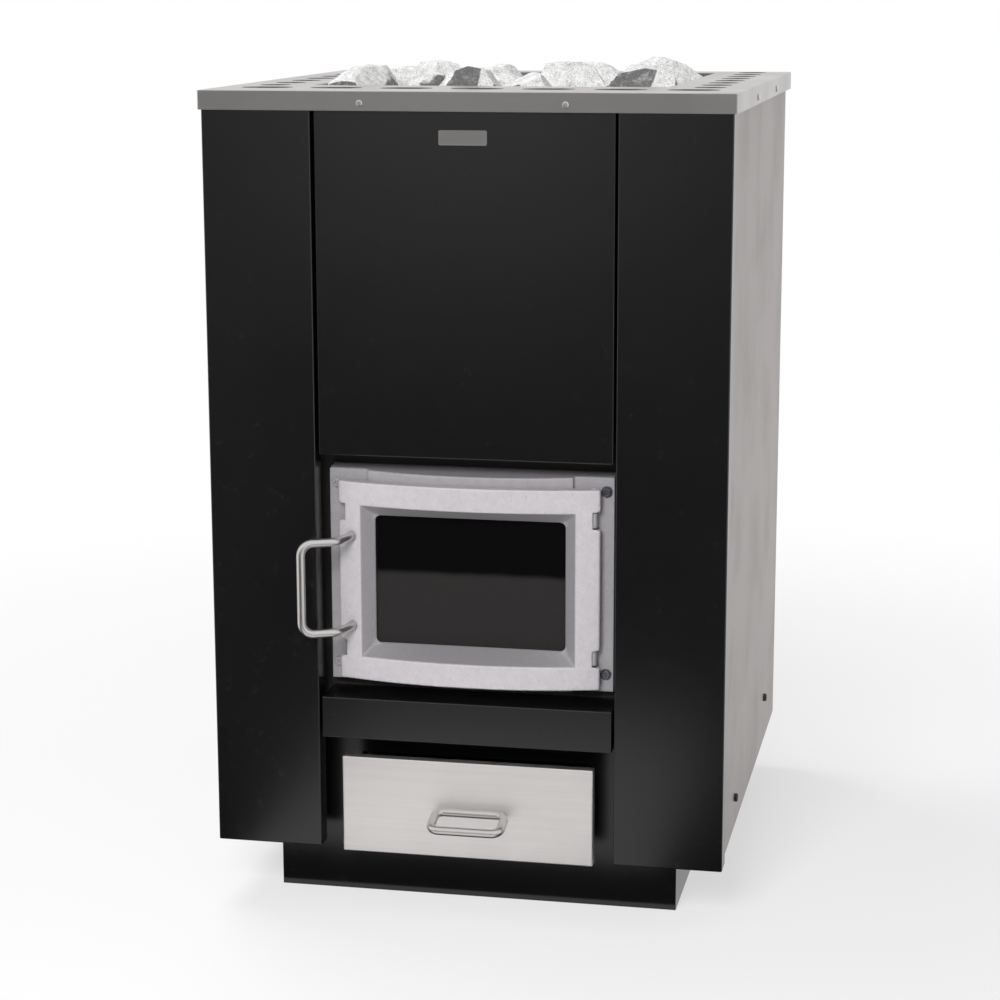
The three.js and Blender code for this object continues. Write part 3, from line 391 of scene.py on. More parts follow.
def silver_casting(finish, colours, share=1.0):
    """Heat-proof silver paint on a sand-cast skin, with painted shade on the bevel at the glass.
    """
    silver = shade(colours.casting, share)
    place = finish.place()
    sand = finish.noise(place, scale=520, detail=5, rough=0.62)
    swell = finish.noise(place, scale=120, detail=5, rough=0.6)
    flake = finish.noise(place, scale=2600)
    pits = finish.span(finish.cells(place, scale=210), 0.2, 0.03)
    low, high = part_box("door_frame")
    sizes = bpy.context.scene.stove_sizes
    edge = sizes.window_inset - sizes.window_bevel
    across, up = finish.axis("X"), finish.axis("Z")
    inner = least(across - (low.x + edge), (high.x - edge) - across,
                  up - (low.z + edge), (high.z - edge) - up)
    # Painted shade: the bevel round the glass is darkened where it turns away from the light
    bevel = finish.span(inner + sand * 0.0012, *BEVEL_SHADE_DEPTHS)
    tone = finish.blend(
        finish.span(swell, 0.3, 0.7), shade(silver, 0.95), shade(silver, 1.03))
    tone = finish.blend(finish.span(flake, 0.55, 0.75) * 0.3, tone, shade(silver, 1.2))
    tone = finish.blend(finish.span(sand, 0.5, 0.3) * 0.35, tone, shade(silver, 0.72))
    tone = finish.blend(bevel * (0.7 + sand * 0.3), tone, shade(silver, 0.5))
    tone = finish.blend(pits * (0.45 + bevel * 0.2), tone, shade(silver, 0.4))
    rough = 0.36 + sand * 0.16 + pits * 0.1
    skin = finish.bump(swell, depth=0.0008, strength=0.5)
    return finish.surface(
        colour=tone, rough=rough, metal=0.34,
        normal=finish.bump(sand, depth=0.0005, strength=0.8, under=skin))


# Painted shade: the door's silver paint, darkened for the collar's recessed, curved flanges that
# stand in shade
def shaded_collar_casting(finish, colours):
    return silver_casting(finish, colours, share=0.72)


def dark_steel(finish, colours):
    """Blackened steel with brighter rubbed patches."""
    place = finish.place()
    rub = finish.span(finish.noise(place, scale=240, detail=6, rough=0.68), 0.48, 0.75)
    cloud = finish.noise(place, scale=35, detail=4)
    tone = finish.blend(cloud, shade(colours.dark, 0.75), shade(colours.dark, 1.3))
    tone = finish.blend(rub * 0.4, tone, RUBBED_STEEL)
    rough = 0.46 - rub * 0.12 + cloud * 0.08
    return finish.surface(
        colour=tone, rough=rough, metal=0.6,
        normal=finish.bump(rub, depth=0.00008, strength=0.5))


def screw_steel(finish, colours):
    """Oiled, blackened screws, with bright patches that are partly rubbed wear and partly a
    painted glint.
    """
    place = finish.place()
    rub = finish.span(finish.noise(place, scale=600, detail=4, rough=0.6), 0.45, 0.7)
    tone = finish.blend(rub * 0.6, SCREW_OILED, SCREW_RUBBED_GLINT)
    return finish.surface(
        colour=tone, rough=0.3 + rub * 0.1, metal=0.75,
        normal=finish.bump(rub, depth=0.00003, strength=0.3))


def tarnished(finish, black):
    """Mill-finish steel tarnished by heat, black and dull where black is one: heat blackening on
    the drawer's pan, painted shade on the bin's outside.
    """
    place = finish.place()
    rust = finish.span(finish.noise(place, scale=28, detail=6, rough=0.66), 0.5, 0.78)
    streak = finish.noise(finish.place(STREAK_GRAIN), scale=1, detail=4)
    tone = finish.blend(streak, MILL_DEEP, MILL_LIGHT)
    tone = finish.blend(rust * 0.5, tone, MILL_RUST)
    tone = finish.blend(black, tone, MILL_BLACK_AND_SHADE)
    return finish.surface(
        colour=tone, rough=0.42 + rust * 0.25, metal=0.8 - black * 0.8,
        normal=finish.bump(streak, depth=0.0001, strength=0.4))


def bin_steel(finish, colours):
    """The stone bin: tarnished inside, black outside as painted shade seen through the top's
    holes.
    """
    low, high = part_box("stone_bin")
    across, along = finish.axis("X"), finish.axis("Y")
    inner = least(across - low.x, high.x - across, along - low.y, high.y - along)
    return tarnished(finish, finish.span(inner, *BIN_SHADE_DEPTHS))


def pan_steel(finish, colours):
    """The ash drawer's box: tarnished, with black patches."""
    patch = finish.noise(finish.place(), scale=40, detail=5, rough=0.6)
    return tarnished(finish, finish.span(patch, 0.55, 0.8))


def fired_steel(finish, colours):
    """Firebox plate: sooty, and paler low down, where it shows through the glass's lower half."""
    place = finish.place()
    soot = finish.noise(place, scale=18, detail=6, rough=0.66)
    # Paler low down, so that the glass's lower half looks lighter
    ash = finish.span(finish.axis("Z"), *LOW_PALE_HEIGHTS) * finish.span(soot, 0.35, 0.7)
    tone = finish.blend(soot, SOOT_DEEP, SOOT_LIGHT)
    tone = finish.blend(ash * 0.5, tone, FIREBOX_LOW_PALE)
    return finish.surface(
        colour=tone, rough=0.7 + soot * 0.2, metal=0,
        normal=finish.bump(soot, depth=0.0009, strength=0.5))


def grate_iron(finish, colours):
    """Bare cast iron, sandy and grey with ash."""
    place = finish.place()
    sand = finish.noise(place, scale=420, detail=5, rough=0.65)
    ash = finish.span(finish.noise(place, scale=38, detail=5, rough=0.6), 0.42, 0.7)
    tone = finish.blend(ash * 0.6, colours.iron, GRATE_ASH)
    return finish.surface(
        colour=tone, rough=0.62 + sand * 0.25, metal=0.35,
        normal=finish.bump(sand, depth=0.0006, strength=0.7))


def smoked_glass(finish, colours):
    """Stove glass, smoked in its upper half, with a painted reflection in lighter grey on its
    lower half.
    """
    haze = finish.noise(finish.place(), scale=22, detail=5, rough=0.6)
    # Painted reflection: below this height the glass takes the lighter grey
    smoke = finish.span(finish.axis("Z") + haze * 0.006, *REFLECTION_HEIGHTS)
    tone = finish.blend(smoke, colours.haze, colours.glass)
    rough = 0.03 + finish.span(haze, 0.5, 0.8) * 0.05
    return finish.surface(
        colour=tone, rough=rough, metal=0, ior=1.5, alpha=0.78 + smoke * 0.18)


def woven_gasket(finish, colours):
    """Braided glass-fibre rope."""
    strands = finish.add("ShaderNodeTexWave", {"bands_direction": "DIAGONAL"}, {
        "Vector": finish.place(), "Scale": 420, "Distortion": 1.5, "Detail": 2})
    tone = finish.blend(strands, shade(colours.fibre, 0.6), shade(colours.fibre, 1.4))
    return finish.surface(
        colour=tone, rough=0.92, metal=0,
        normal=finish.bump(strands, depth=0.0004, strength=0.8))


def broken_stone(finish, colours):
    """Pale, coarse igneous rock with dark flecks, and painted shade on some broken faces and in
    patches.
    """
    stone = colours.stone
    place = finish.place()
    patch = finish.noise(place, scale=24, detail=3, rough=0.55, twist=0.4)
    ground = finish.noise(place, scale=90, detail=8, rough=0.7)
    grain = finish.cells(place, scale=420)
    fine = finish.noise(place, scale=1300, detail=3, rough=0.6)
    fleck = finish.span(finish.noise(place, scale=560, detail=3, rough=0.6), 0.54, 0.64)
    broken = finish.add("ShaderNodeAttribute", {"attribute_name": "broken_face"}, output="Fac")
    # Painted shade: the marked broken faces and noise patches are darkened as shadowed facets
    facet_shade = finish.span(broken + (patch - 0.5) * 1.2 + (ground - 0.5) * 0.5, 0.4, 0.85)
    shade_break = finish.span(ground, 0.4, 0.75)
    tone = finish.blend(finish.span(ground, 0.3, 0.65), shade(stone, 0.6), stone)
    tone = finish.blend(finish.span(grain, 0.35, 0.75) * 0.4, tone, shade(stone, 1.2))
    tone = finish.blend(facet_shade * (1.1 - shade_break * 0.5), tone, shade(stone, 0.15))
    tone = finish.blend(facet_shade * finish.span(fine, 0.55, 0.72) * 0.4, tone, stone)
    tone = finish.blend(fleck * (0.45 + facet_shade * 0.3), tone, colours.fleck)
    skin = finish.bump(ground, depth=0.003, strength=0.6)
    skin = finish.bump(fine + grain * 0.5, depth=0.0007, strength=0.6, under=skin)
    return finish.surface(colour=tone, rough=0.72 + ground * 0.2, metal=0, normal=skin)


# What makes each material, from an empty finish and the colours
finishes = {
    "satin_black_paint": black_paint, "side_stainless_shaded": shaded_side_steel,
    "frame_stainless": frame_steel, "drawer_stainless_lit": lit_drawer_steel,
    "plate_stainless": plate_steel, "polished_rod": rod_steel,
    "silver_casting_paint": silver_casting, "collar_casting_shaded_paint": shaded_collar_casting,
    "blackened_steel": dark_steel, "screw_steel": screw_steel, "bin_steel": bin_steel,
    "pan_steel": pan_steel, "fired_plate": fired_steel, "grate_cast_iron": grate_iron,
    "smoked_glass": smoked_glass, "gasket_braid": woven_gasket, "sauna_stone": broken_stone,
}


def finish_named(name):
    """The material of that name, made when first asked for."""
    material = bpy.data.materials.get(name)
    if material is None:
        material = bpy.data.materials.new(name)
        finishes[name](Finish(material), bpy.context.scene.stove_colours)
    return material


# Modelling

# Points nearer to each other than this, in metres, are merged
COPY_MERGE, BEVEL_MERGE, TURNED_MERGE, BREAK_MERGE = 2e-6, 5e-6, 1e-6, 1e-5

# Angles in degrees
FLAT_ANGLE = 0.3      # faces that meet at less are one face
SHARP_ANGLE = 35      # edges that turn by more are rounded, and stay sharp in shading
STONE_ANGLE = 20      # the same for a stone's broken edges
FASTENER_SHADING, ROD_SHADING, STONE_SHADING, CAST_SHADING = 30, 50, 60, 180

ON_SIDE = 2e-5        # how near a point is to a box's side that it lies on
FACING = 0.9          # least part of a face's normal along the axis that it looks along
FOLD_STEPS, BEND_STEPS, ROD_STEPS = 5, 10, 7
BEND_REACH = 0.48     # most of a straight run that a bend at its end may use
WELD_RIPPLES = ((0.035, 9, 0), (0.02, 17, 1))   # depth, count and shift


def leave_edit():
    if bpy.context.mode != "OBJECT":
        bpy.ops.object.mode_set(mode="OBJECT")


def select_none():
    bpy.ops.object.select_all(action="DESELECT")


def activate(*objects):
    """Selects these alone, the first of them active."""
    leave_edit()
    select_none()
    for item in objects:
        item.select_set(True)
    bpy.context.view_layer.objects.active = objects[0]


def edit(piece):
    activate(piece)
    bpy.ops.object.mode_set(mode="EDIT")


def merge_points(distance):
    """Merges the points in edit mode that lie together, and leaves all selected."""
    bpy.ops.mesh.select_all(action="SELECT")
    bpy.ops.mesh.remove_doubles(threshold=distance)


def turn_outwards():
    bpy.ops.mesh.select_all(action="SELECT")
    bpy.ops.mesh.normals_make_consistent(inside=False)


def pull_out(x, y, z):
    """Extrudes the faces selected in edit mode."""
    bpy.ops.mesh.extrude_region_move(TRANSFORM_OT_translate={"value": (x, y, z)})


def pick(kind, test):
    """Selects the edges or faces in edit mode that pass the test, and nothing else."""
    bpy.ops.mesh.select_mode(type=kind)
    bpy.ops.mesh.select_all(action="DESELECT")
    mesh = bpy.context.edit_object.data
    form = bmesh.from_edit_mesh(mesh)
    form.normal_update()
    chosen = [item for item in (form.edges if kind == "EDGE" else form.faces) if test(item)]
    if not chosen:
        raise RuntimeError("nothing to select on " + mesh.name)
    for item in chosen:
        item.select_set(True)
    bmesh.update_edit_mesh(mesh)


def round_edges(radius, segments):
    """Rounds the edges selected in edit mode."""
    bpy.ops.mesh.bevel(
        offset=radius, segments=segments, profile=0.5, affect="EDGES", clamp_overlap=True)


def apply_modifier(piece, kind, **settings):
    """Adds a modifier, sets it and applies it."""
    modifier = piece.modifiers.new("shape", kind)
    for key, value in settings.items():
        setattr(modifier, key, value)
    activate(piece)
    bpy.ops.object.modifier_apply(modifier=modifier.name)


def cut_away(piece, tool):
    """Cuts a tool's shape out of a piece, and removes the tool."""
    apply_modifier(piece, "BOOLEAN", operation="DIFFERENCE", object=tool, solver="EXACT")
    bpy.data.objects.remove(tool)


def soften(piece, width, segments=2, angle=SHARP_ANGLE):
    """Rounds a piece's sharp edges, and merges the points that this leaves together."""
    apply_modifier(piece, "BEVEL", width=width, segments=segments, limit_method="ANGLE",
                   angle_limit=math.radians(angle), use_clamp_overlap=True,
                   miter_outer="MITER_ARC")
    edit(piece)
    merge_points(BEVEL_MERGE)
    leave_edit()


def start_from(add_primitive, name, **settings):
    """Adds a primitive, selected alone, as the start of a piece."""
    select_none()
    add_primitive(**settings)
    piece = bpy.context.active_object
    piece.name = name
    return piece


def fix_place():
    """Puts the place, turn and scale of what is selected into its mesh."""
    bpy.ops.object.transform_apply(location=True, rotation=True, scale=True)


def add_object(name, data):
    piece = bpy.data.objects.new(name, data)
    bpy.context.scene.collection.objects.link(piece)
    return piece


def solid_copy(node, name):
    """A piece with the shape of a CAD solid, its loose triangles merged into whole faces."""
    piece = add_object(name, frame["nodes"][node].data.copy())
    piece.data.name = name
    activate(piece)
    bpy.ops.mesh.customdata_custom_splitnormals_clear()
    edit(piece)
    merge_points(COPY_MERGE)
    bpy.ops.mesh.dissolve_limited(angle_limit=math.radians(FLAT_ANGLE))
    leave_edit()
    return piece


def settle(piece, body, material, nodes=(), smooth=SHARP_ANGLE):
    """Shades a finished piece, gives it its finish, parents it to its body's empty and hides the
    nodes that it stands for.
    """
    activate(piece)
    bpy.ops.object.shade_smooth_by_angle(angle=math.radians(smooth))
    apply_modifier(piece, "WEIGHTED_NORMAL", mode="FACE_AREA", weight=100, keep_sharp=True)
    piece.data.materials.clear()
    piece.data.materials.append(finish_named(material))
    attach(piece, body)
    if nodes:
        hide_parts(*nodes)
    select_none()


def stand_for(piece, node, material, smooth=SHARP_ANGLE):
    settle(piece, body_of_node[node], material, (node,), smooth)


def softened_copy(node, name, edge, material, smooth=SHARP_ANGLE):
    """A CAD solid's shape with rounded edges, standing for it."""
    piece = solid_copy(node, name)
    soften(piece, edge)
    stand_for(piece, node, material, smooth)


def box_sides(points, low, high):
    """Which sides of a box all the points lie on, as (axis, sign) pairs."""
    sides = set()
    for axis in (X, Y, Z):
        for sign, limit in ((-1, low[axis]), (1, high[axis])):
            if all(abs(point[axis] - limit) < ON_SIDE for point in points):
                sides.add((axis, sign))
    return sides


def round_folds(piece, node, radius, open_sides):
    """Rounds a sheet's folds, which are its box's edges, apart from those on an open side."""
    low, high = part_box(node)

    def is_fold(edge):
        sides = box_sides([vert.co for vert in edge.verts], low, high)
        return len(sides) > 1 and not sides & open_sides

    edit(piece)
    pick("EDGE", is_fold)
    round_edges(radius, FOLD_STEPS)
    leave_edit()


def folded_sheet(node, radius, open_sides, material, edge):
    """A sheet's shape with its folds and its cut edges rounded, standing for its node."""
    piece = solid_copy(node, node + "_sheet")
    if radius:
        round_folds(piece, node, radius, open_sides)
    soften(piece, edge, segments=1)
    stand_for(piece, node, material)


def arc_path(corners, bend):
    """Points along straight runs with a circular bend of that radius at each inner corner."""
    points = [corners[0].copy()]
    for before, corner, after in zip(corners, corners[1:], corners[2:]):
        to_back, to_ahead = before - corner, after - corner
        back, ahead = to_back.normalized(), to_ahead.normalized()
        half = back.angle(ahead) / 2
        reach = min(bend / math.tan(half), BEND_REACH * min(to_back.length, to_ahead.length))
        radius = reach * math.tan(half)
        centre = corner + (back + ahead).normalized() * (radius / math.sin(half))
        start, end = corner + back * reach - centre, corner + ahead * reach - centre
        turn = start.angle(end)
        for step in range(BEND_STEPS + 1):
            share = step / BEND_STEPS
            arm = start * math.sin((1 - share) * turn) + end * math.sin(share * turn)
            points.append(centre + arm / math.sin(turn))
    points.append(corners[-1].copy())
    return points


def bent_rod(name, corners, bend, radius, closed=False):
    """A round rod bent along the corners, made from a bevelled curve."""
    points = arc_path(corners, bend)
    if closed:
        points = points[1:-1]
    line = bpy.data.curves.new(name, "CURVE")
    line.dimensions = "3D"
    line.bevel_depth, line.bevel_resolution, line.use_fill_caps = radius, ROD_STEPS, True
    spline = line.splines.new("POLY")
    spline.points.add(len(points) - 1)
    for spot, point in zip(spline.points, points):
        spot.co = (*point, 1)
    spline.use_cyclic_u = closed
    piece = add_object(name, line)
    activate(piece)
    bpy.ops.object.convert(target="MESH")
    edit(piece)
    merge_points(TURNED_MERGE)
    turn_outwards()
    leave_edit()
    return piece


def join(*pieces):
    activate(*pieces)
    bpy.ops.object.join()
    return pieces[0]


def weld_ring(place, direction, radius, bead):
    """A bead of weld round a rod's foot, a little uneven."""
    ring = start_from(
        bpy.ops.mesh.primitive_torus_add, "bead", major_segments=48, minor_segments=12,
        major_radius=radius, minor_radius=bead, location=(0, 0, 0))
    for vert in ring.data.vertices:
        turn = math.atan2(vert.co.y, vert.co.x)
        vert.co *= 1 + sum(depth * math.sin(count * turn + shift)
                           for depth, count, shift in WELD_RIPPLES)
    ring.data.transform(UP.rotation_difference(direction).to_matrix().to_4x4())
    ring.data.transform(Matrix.Translation(place))
    return ring


# Casing

# The flue spigot's profile, as places along it and depths below its outside: a rolled groove
# about its own middle, then the lip and the bore, from the tube's end
GROOVE_PLACE = 0.03
GROOVE = ((-0.006, 0.0002), (-0.0035, 0.0009), (0, 0.0014), (0.0035, 0.0009), (0.006, 0.0002))
LIP = ((-0.001, 0.0002), (-0.0003, 0.0006), (0, 0.0014), (-0.0004, 0.0027), (-0.0012, 0.003))
TUBE_DEPTH, TUBE_WALL, TUBE_STEPS = 0.0002, 0.003, 96


class STOVE_OT_fold_front(bpy.types.Operator):
    """Fold the black front: two columns, the upper panel and the rail"""

    bl_idname = "stove.fold_front"
    bl_label = "Front sheets"
    bl_options = {"REGISTER", "UNDO"}

    def execute(self, context):
        sizes = context.scene.stove_sizes
        for node, open_sides in (("left_front_column", {REAR, TOP}),
                                 ("right_front_column", {REAR, TOP}),
                                 ("upper_front_panel", {REAR, TOP}),
                                 ("lower_front_rail", {REAR, LEFT, RIGHT})):
            folded_sheet(
                node, sizes.fold_radius, open_sides, "satin_black_paint", sizes.sheet_edge)
        return {"FINISHED"}


class STOVE_OT_fold_sides(bpy.types.Operator):
    """Fold the stainless side panels and the back"""

    bl_idname = "stove.fold_sides"
    bl_label = "Side and back sheets"
    bl_options = {"REGISTER", "UNDO"}

    def execute(self, context):
        sizes = context.scene.stove_sizes
        for node, radius, open_sides in (
                ("left_side_panel", sizes.fold_radius, {RIGHT, TOP, REAR}),
                ("right_side_panel", sizes.fold_radius, {LEFT, TOP, REAR}),
                ("back_panel", 0, set())):
            folded_sheet(node, radius, open_sides, "side_stainless_shaded", sizes.sheet_edge)
        return {"FINISHED"}


class STOVE_OT_fold_top(bpy.types.Operator):
    """Fold the stainless frame over the casing"""

    bl_idname = "stove.fold_top"
    bl_label = "Top frame"
    bl_options = {"REGISTER", "UNDO"}

    def execute(self, context):
        sizes = context.scene.stove_sizes
        folded_sheet("top_frame", sizes.frame_fold, {UNDER}, "frame_stainless", sizes.sheet_edge)
        return {"FINISHED"}


class STOVE_OT_weld_body(bpy.types.Operator):
    """Weld the base, the firebox, the grate, the bin, the brackets and the runners"""

    bl_idname = "stove.weld_body"
    bl_label = "Body"
    bl_options = {"REGISTER", "UNDO"}

    def execute(self, context):
        sizes = context.scene.stove_sizes
        for node, material, edge in (
                ("base_plinth", "satin_black_paint", sizes.plate_edge),
                ("firebox", "fired_plate", sizes.plate_edge),
                ("fire_grate", "grate_cast_iron", sizes.grate_edge),
                ("stone_bin", "bin_steel", sizes.sheet_edge),
                ("left_casing_bracket", "blackened_steel", sizes.sheet_edge),
                ("right_casing_bracket", "blackened_steel", sizes.sheet_edge),
                ("left_drawer_runner", "blackened_steel", sizes.sheet_edge),
                ("right_drawer_runner", "blackened_steel", sizes.sheet_edge)):
            softened_copy(node, node + "_plate", edge, material)
        return {"FINISHED"}


class STOVE_OT_roll_flue(bpy.types.Operator):
    """Roll the flue spigot, with a groove and a turned lip"""

    bl_idname = "stove.roll_flue"
    bl_label = "Flue spigot"
    bl_options = {"REGISTER", "UNDO"}

    def execute(self, context):
        low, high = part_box("flue_spigot")
        outer, axis = (high.x - low.x) / 2, (low.z + high.z) / 2
        profile = [(low.y, TUBE_DEPTH)]
        profile += [(high.y - GROOVE_PLACE + along, depth) for along, depth in GROOVE]
        profile += [(high.y + along, depth) for along, depth in LIP]
        profile.append((low.y, TUBE_WALL))
        count = len(profile)
        mesh = bpy.data.meshes.new("flue_spigot_tube")
        mesh.from_pydata([(0, along, axis + outer - depth) for along, depth in profile],
                         [(spot, (spot + 1) % count) for spot in range(count)], [])
        piece = add_object("flue_spigot_tube", mesh)
        edit(piece)
        bpy.ops.mesh.select_all(action="SELECT")
        bpy.ops.mesh.spin(
            steps=TUBE_STEPS, angle=2 * math.pi, center=(0, 0, axis), axis=(0, 1, 0))
        merge_points(TURNED_MERGE)
        turn_outwards()
        leave_edit()
        stand_for(piece, "flue_spigot", "blackened_steel")
        return {"FINISHED"}


# Doorway

COLLAR_RISE = 0.002     # how far the collar's top tips each way
COLLAR_TOP = 1e-5       # how near its highest point the points of that top are
WEB_DEPTH, WEB_GAP = 0.0036, 0.0003     # thickness of the corner webs, and room to the gasket
DRILL_STEPS, DRILL_LENGTH = 48, 0.03
GLAZING_EDGE = 0.0004

# The door handle's feet: out of the bowed door there, the elbows, the legs and their sunk ends
HANDLE_OUT = Vector((-0.256, -0.9667, 0)).normalized()
HANDLE_ELBOW = Vector((-0.14435, -0.34062, 0))
HANDLE_LEG, HANDLE_SUNK, WELD_GAP = 0.0334, 0.0012, 0.0002


class STOVE_OT_cast_door(bpy.types.Operator):
    """Cast the door and its collar, with rounded edges"""

    bl_idname = "stove.cast_door"
    bl_label = "Castings"
    bl_options = {"REGISTER", "UNDO"}

    def execute(self, context):
        sizes = context.scene.stove_sizes
        collar = solid_copy("door_collar", "door_collar_casting")
        self.slope_top(collar)
        door = solid_copy("door_frame", "door_frame_casting")
        join(door, *self.corner_webs(sizes))
        for piece, node, material in ((collar, "door_collar", "collar_casting_shaded_paint"),
                                      (door, "door_frame", "silver_casting_paint")):
            apply_modifier(piece, "REMESH", mode="VOXEL", voxel_size=sizes.cast_voxel)
            apply_modifier(piece, "SMOOTH", factor=0.5, iterations=4)
            stand_for(piece, node, material, CAST_SHADING)
        return {"FINISHED"}

    def slope_top(self, collar):
        """Tips the collar's top face, a little higher at the back."""
        low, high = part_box("door_collar")
        for vert in collar.data.vertices:
            if vert.co.z > high.z - COLLAR_TOP:
                vert.co.z += COLLAR_RISE * (2 * (vert.co.y - low.y) / (high.y - low.y) - 1)

    def corner_webs(self, sizes):
        """Four webs that round the corners of the glass opening."""
        low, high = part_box("door_frame")
        middle, half = (low + high) / 2, (high - low) / 2
        radius, rear = sizes.window_corner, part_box("glass_gasket")[0].y - WEB_GAP
        webs = []
        for across, up in ((-1, -1), (-1, 1), (1, -1), (1, 1)):
            corner = Vector((middle.x + across * (half.x - sizes.window_inset),
                             rear - WEB_DEPTH / 2,
                             middle.z + up * (half.z - sizes.window_inset)))
            drill = start_from(
                bpy.ops.mesh.primitive_cylinder_add, "drill", vertices=DRILL_STEPS,
                radius=radius, depth=DRILL_LENGTH, rotation=(math.pi / 2, 0, 0),
                location=corner - Vector((across * radius, 0, up * radius)))
            web = start_from(
                bpy.ops.mesh.primitive_cube_add, "web", size=1, location=corner,
                scale=(2 * radius, WEB_DEPTH, 2 * radius))
            fix_place()
            cut_away(web, drill)
            webs.append(web)
        return webs


class STOVE_OT_glaze_door(bpy.types.Operator):
    """Set the glass, its gasket and its clips"""

    bl_idname = "stove.glaze_door"
    bl_label = "Glazing"
    bl_options = {"REGISTER", "UNDO"}

    def execute(self, context):
        for node, material in (
                ("door_glass", "smoked_glass"), ("glass_gasket", "gasket_braid"),
                ("upper_glass_clip", "blackened_steel"), ("lower_glass_clip", "blackened_steel")):
            softened_copy(node, node + "_fitted", GLAZING_EDGE, material)
        return {"FINISHED"}


class STOVE_OT_bend_handles(bpy.types.Operator):
    """Bend the rods of the door handle and the drawer handle"""

    bl_idname = "stove.bend_handles"
    bl_label = "Handles"
    bl_options = {"REGISTER", "UNDO"}

    def execute(self, context):
        sizes = context.scene.stove_sizes
        self.door_handle(sizes)
        self.drawer_handle(sizes)
        return {"FINISHED"}

    def door_handle(self, sizes):
        low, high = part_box("door_handle")
        top, bottom = high.z - sizes.rod, low.z + sizes.rod
        grip = Vector((low.x + sizes.rod, low.y + sizes.rod, 0))
        foot = HANDLE_ELBOW - HANDLE_OUT * HANDLE_LEG
        sunk = foot - HANDLE_OUT * HANDLE_SUNK

        def at(spot, height):
            return Vector((spot.x, spot.y, height))

        corners = [at(spot, top) for spot in (sunk, HANDLE_ELBOW, grip)]
        corners += [at(spot, bottom) for spot in (grip, HANDLE_ELBOW, sunk)]
        piece = bent_rod("door_handle_rod", corners, sizes.rod_bend, sizes.rod)
        beads = [weld_ring(at(foot, height), HANDLE_OUT, sizes.rod + WELD_GAP, sizes.weld)
                 for height in (top, bottom)]
        stand_for(join(piece, *beads), "door_handle", "polished_rod", ROD_SHADING)

    def drawer_handle(self, sizes):
        low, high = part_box("ash_drawer_handle")
        radius = sizes.rod
        rear, front = high.y - radius, low.y + radius
        upper, lower = high.z - radius, low.z + radius
        left, right, middle = low.x + radius, high.x - radius, (low.x + high.x) / 2
        corners = [Vector(spot) for spot in (
            (middle, rear, upper), (left, rear, upper), (left, front, lower),
            (right, front, lower), (right, rear, upper), (middle, rear, upper))]
        piece = bent_rod("ash_drawer_handle_rod", corners, sizes.pull_bend, radius, closed=True)
        stand_for(piece, "ash_drawer_handle", "polished_rod", ROD_SHADING)


class STOVE_OT_fold_drawer(bpy.types.Operator):
    """Fold the ash drawer and its stainless front"""

    bl_idname = "stove.fold_drawer"
    bl_label = "Ash drawer"
    bl_options = {"REGISTER", "UNDO"}

    def execute(self, context):
        sizes = context.scene.stove_sizes
        folded_sheet(
            "ash_drawer_front", sizes.fold_radius, {REAR}, "drawer_stainless_lit", sizes.sheet_edge)
        softened_copy("ash_drawer_box", "ash_drawer_pan", sizes.sheet_edge, "pan_steel")
        return {"FINISHED"}


# Fasteners and the plate

SKIRT_SCREW = {"head": 0.004, "height": 0.0022, "shank": 0.0019, "length": 0.0076,
               "dome": 0.0019}
PANEL_SCREW = {"head": 0.005, "height": 0.0036, "shank": 0.0024, "length": 0.0076,
               "dome": 0.0014, "recess": True}
COLLAR_SCREW = {"head": 0.0051, "height": 0.0034, "shank": 0.0024, "length": 0.0296,
                "dome": 0.0013, "recess": True, "washer": 0.0008}
COLLAR_SCREW_FINISH = {"left": "collar_casting_shaded_paint", "right": "screw_steel"}
PANEL_TURNS, COLLAR_TURNS = (0.4, 1.1, 0.2, 0.9), (0.3, 0.9)    # of the recesses, in radians
WASHER_SHARE, POINT_SHARE = 1.28, 0.86      # of the head's radius, and of the shank's
RECESS_SIZE = (1.15, 0.24, 0.9)             # of the head's radius, twice, and of its height
HEAD_SIDES, DOME_STEPS = 40, 6
HEAD_SKIN = 1e-6                            # how near its top or seat a head's points there are
NUT_EDGE = 0.0003
PLATE_RIM, PLATE_SINK, PLATE_EDGE = 0.0011, 0.0003, 0.00012
PLATE_DRAFT, PLATE_MIDDLE = (0.993, 1, 0.978), (0, 0, 0.893)    # of the sunk face


def screw_model(head, height, shank, length, dome, recess=False, washer=0):
    """One screw along +Z, seated at zero: a turned head, a washer and a recess if it has them."""
    piece = start_from(
        bpy.ops.mesh.primitive_cylinder_add, "screw", vertices=HEAD_SIDES, radius=head,
        depth=height - washer, location=(0, 0, washer + (height - washer) / 2))
    fix_place()
    edit(piece)
    pick("EDGE", lambda edge: all(vert.co.z > height - HEAD_SKIN for vert in edge.verts))
    round_edges(dome, DOME_STEPS)
    seat = head
    if washer:
        seat = head * WASHER_SHARE
        pick("FACE", lambda face: face.normal.z < -FACING)
        pull_out(0, 0, 0)
        bpy.ops.transform.resize(
            value=(WASHER_SHARE, WASHER_SHARE, 1), center_override=(0, 0, washer))
        pull_out(0, 0, -washer)
    pick("FACE", lambda face: (face.normal.z < -FACING
                               and face.calc_center_median().z < HEAD_SKIN))
    bpy.ops.mesh.inset(thickness=seat - shank)
    pull_out(0, 0, -length)
    bpy.ops.transform.resize(
        value=(POINT_SHARE, POINT_SHARE, 1), center_override=(0, 0, -length))
    turn_outwards()
    leave_edit()
    if recess:
        long, wide, deep = RECESS_SIZE
        for turn in (0, math.pi / 2):
            cut_away(piece, start_from(
                bpy.ops.mesh.primitive_cube_add, "blade", size=1, location=(0, 0, height),
                rotation=(0, 0, turn), scale=(head * long, head * wide, height * deep)))
    return piece


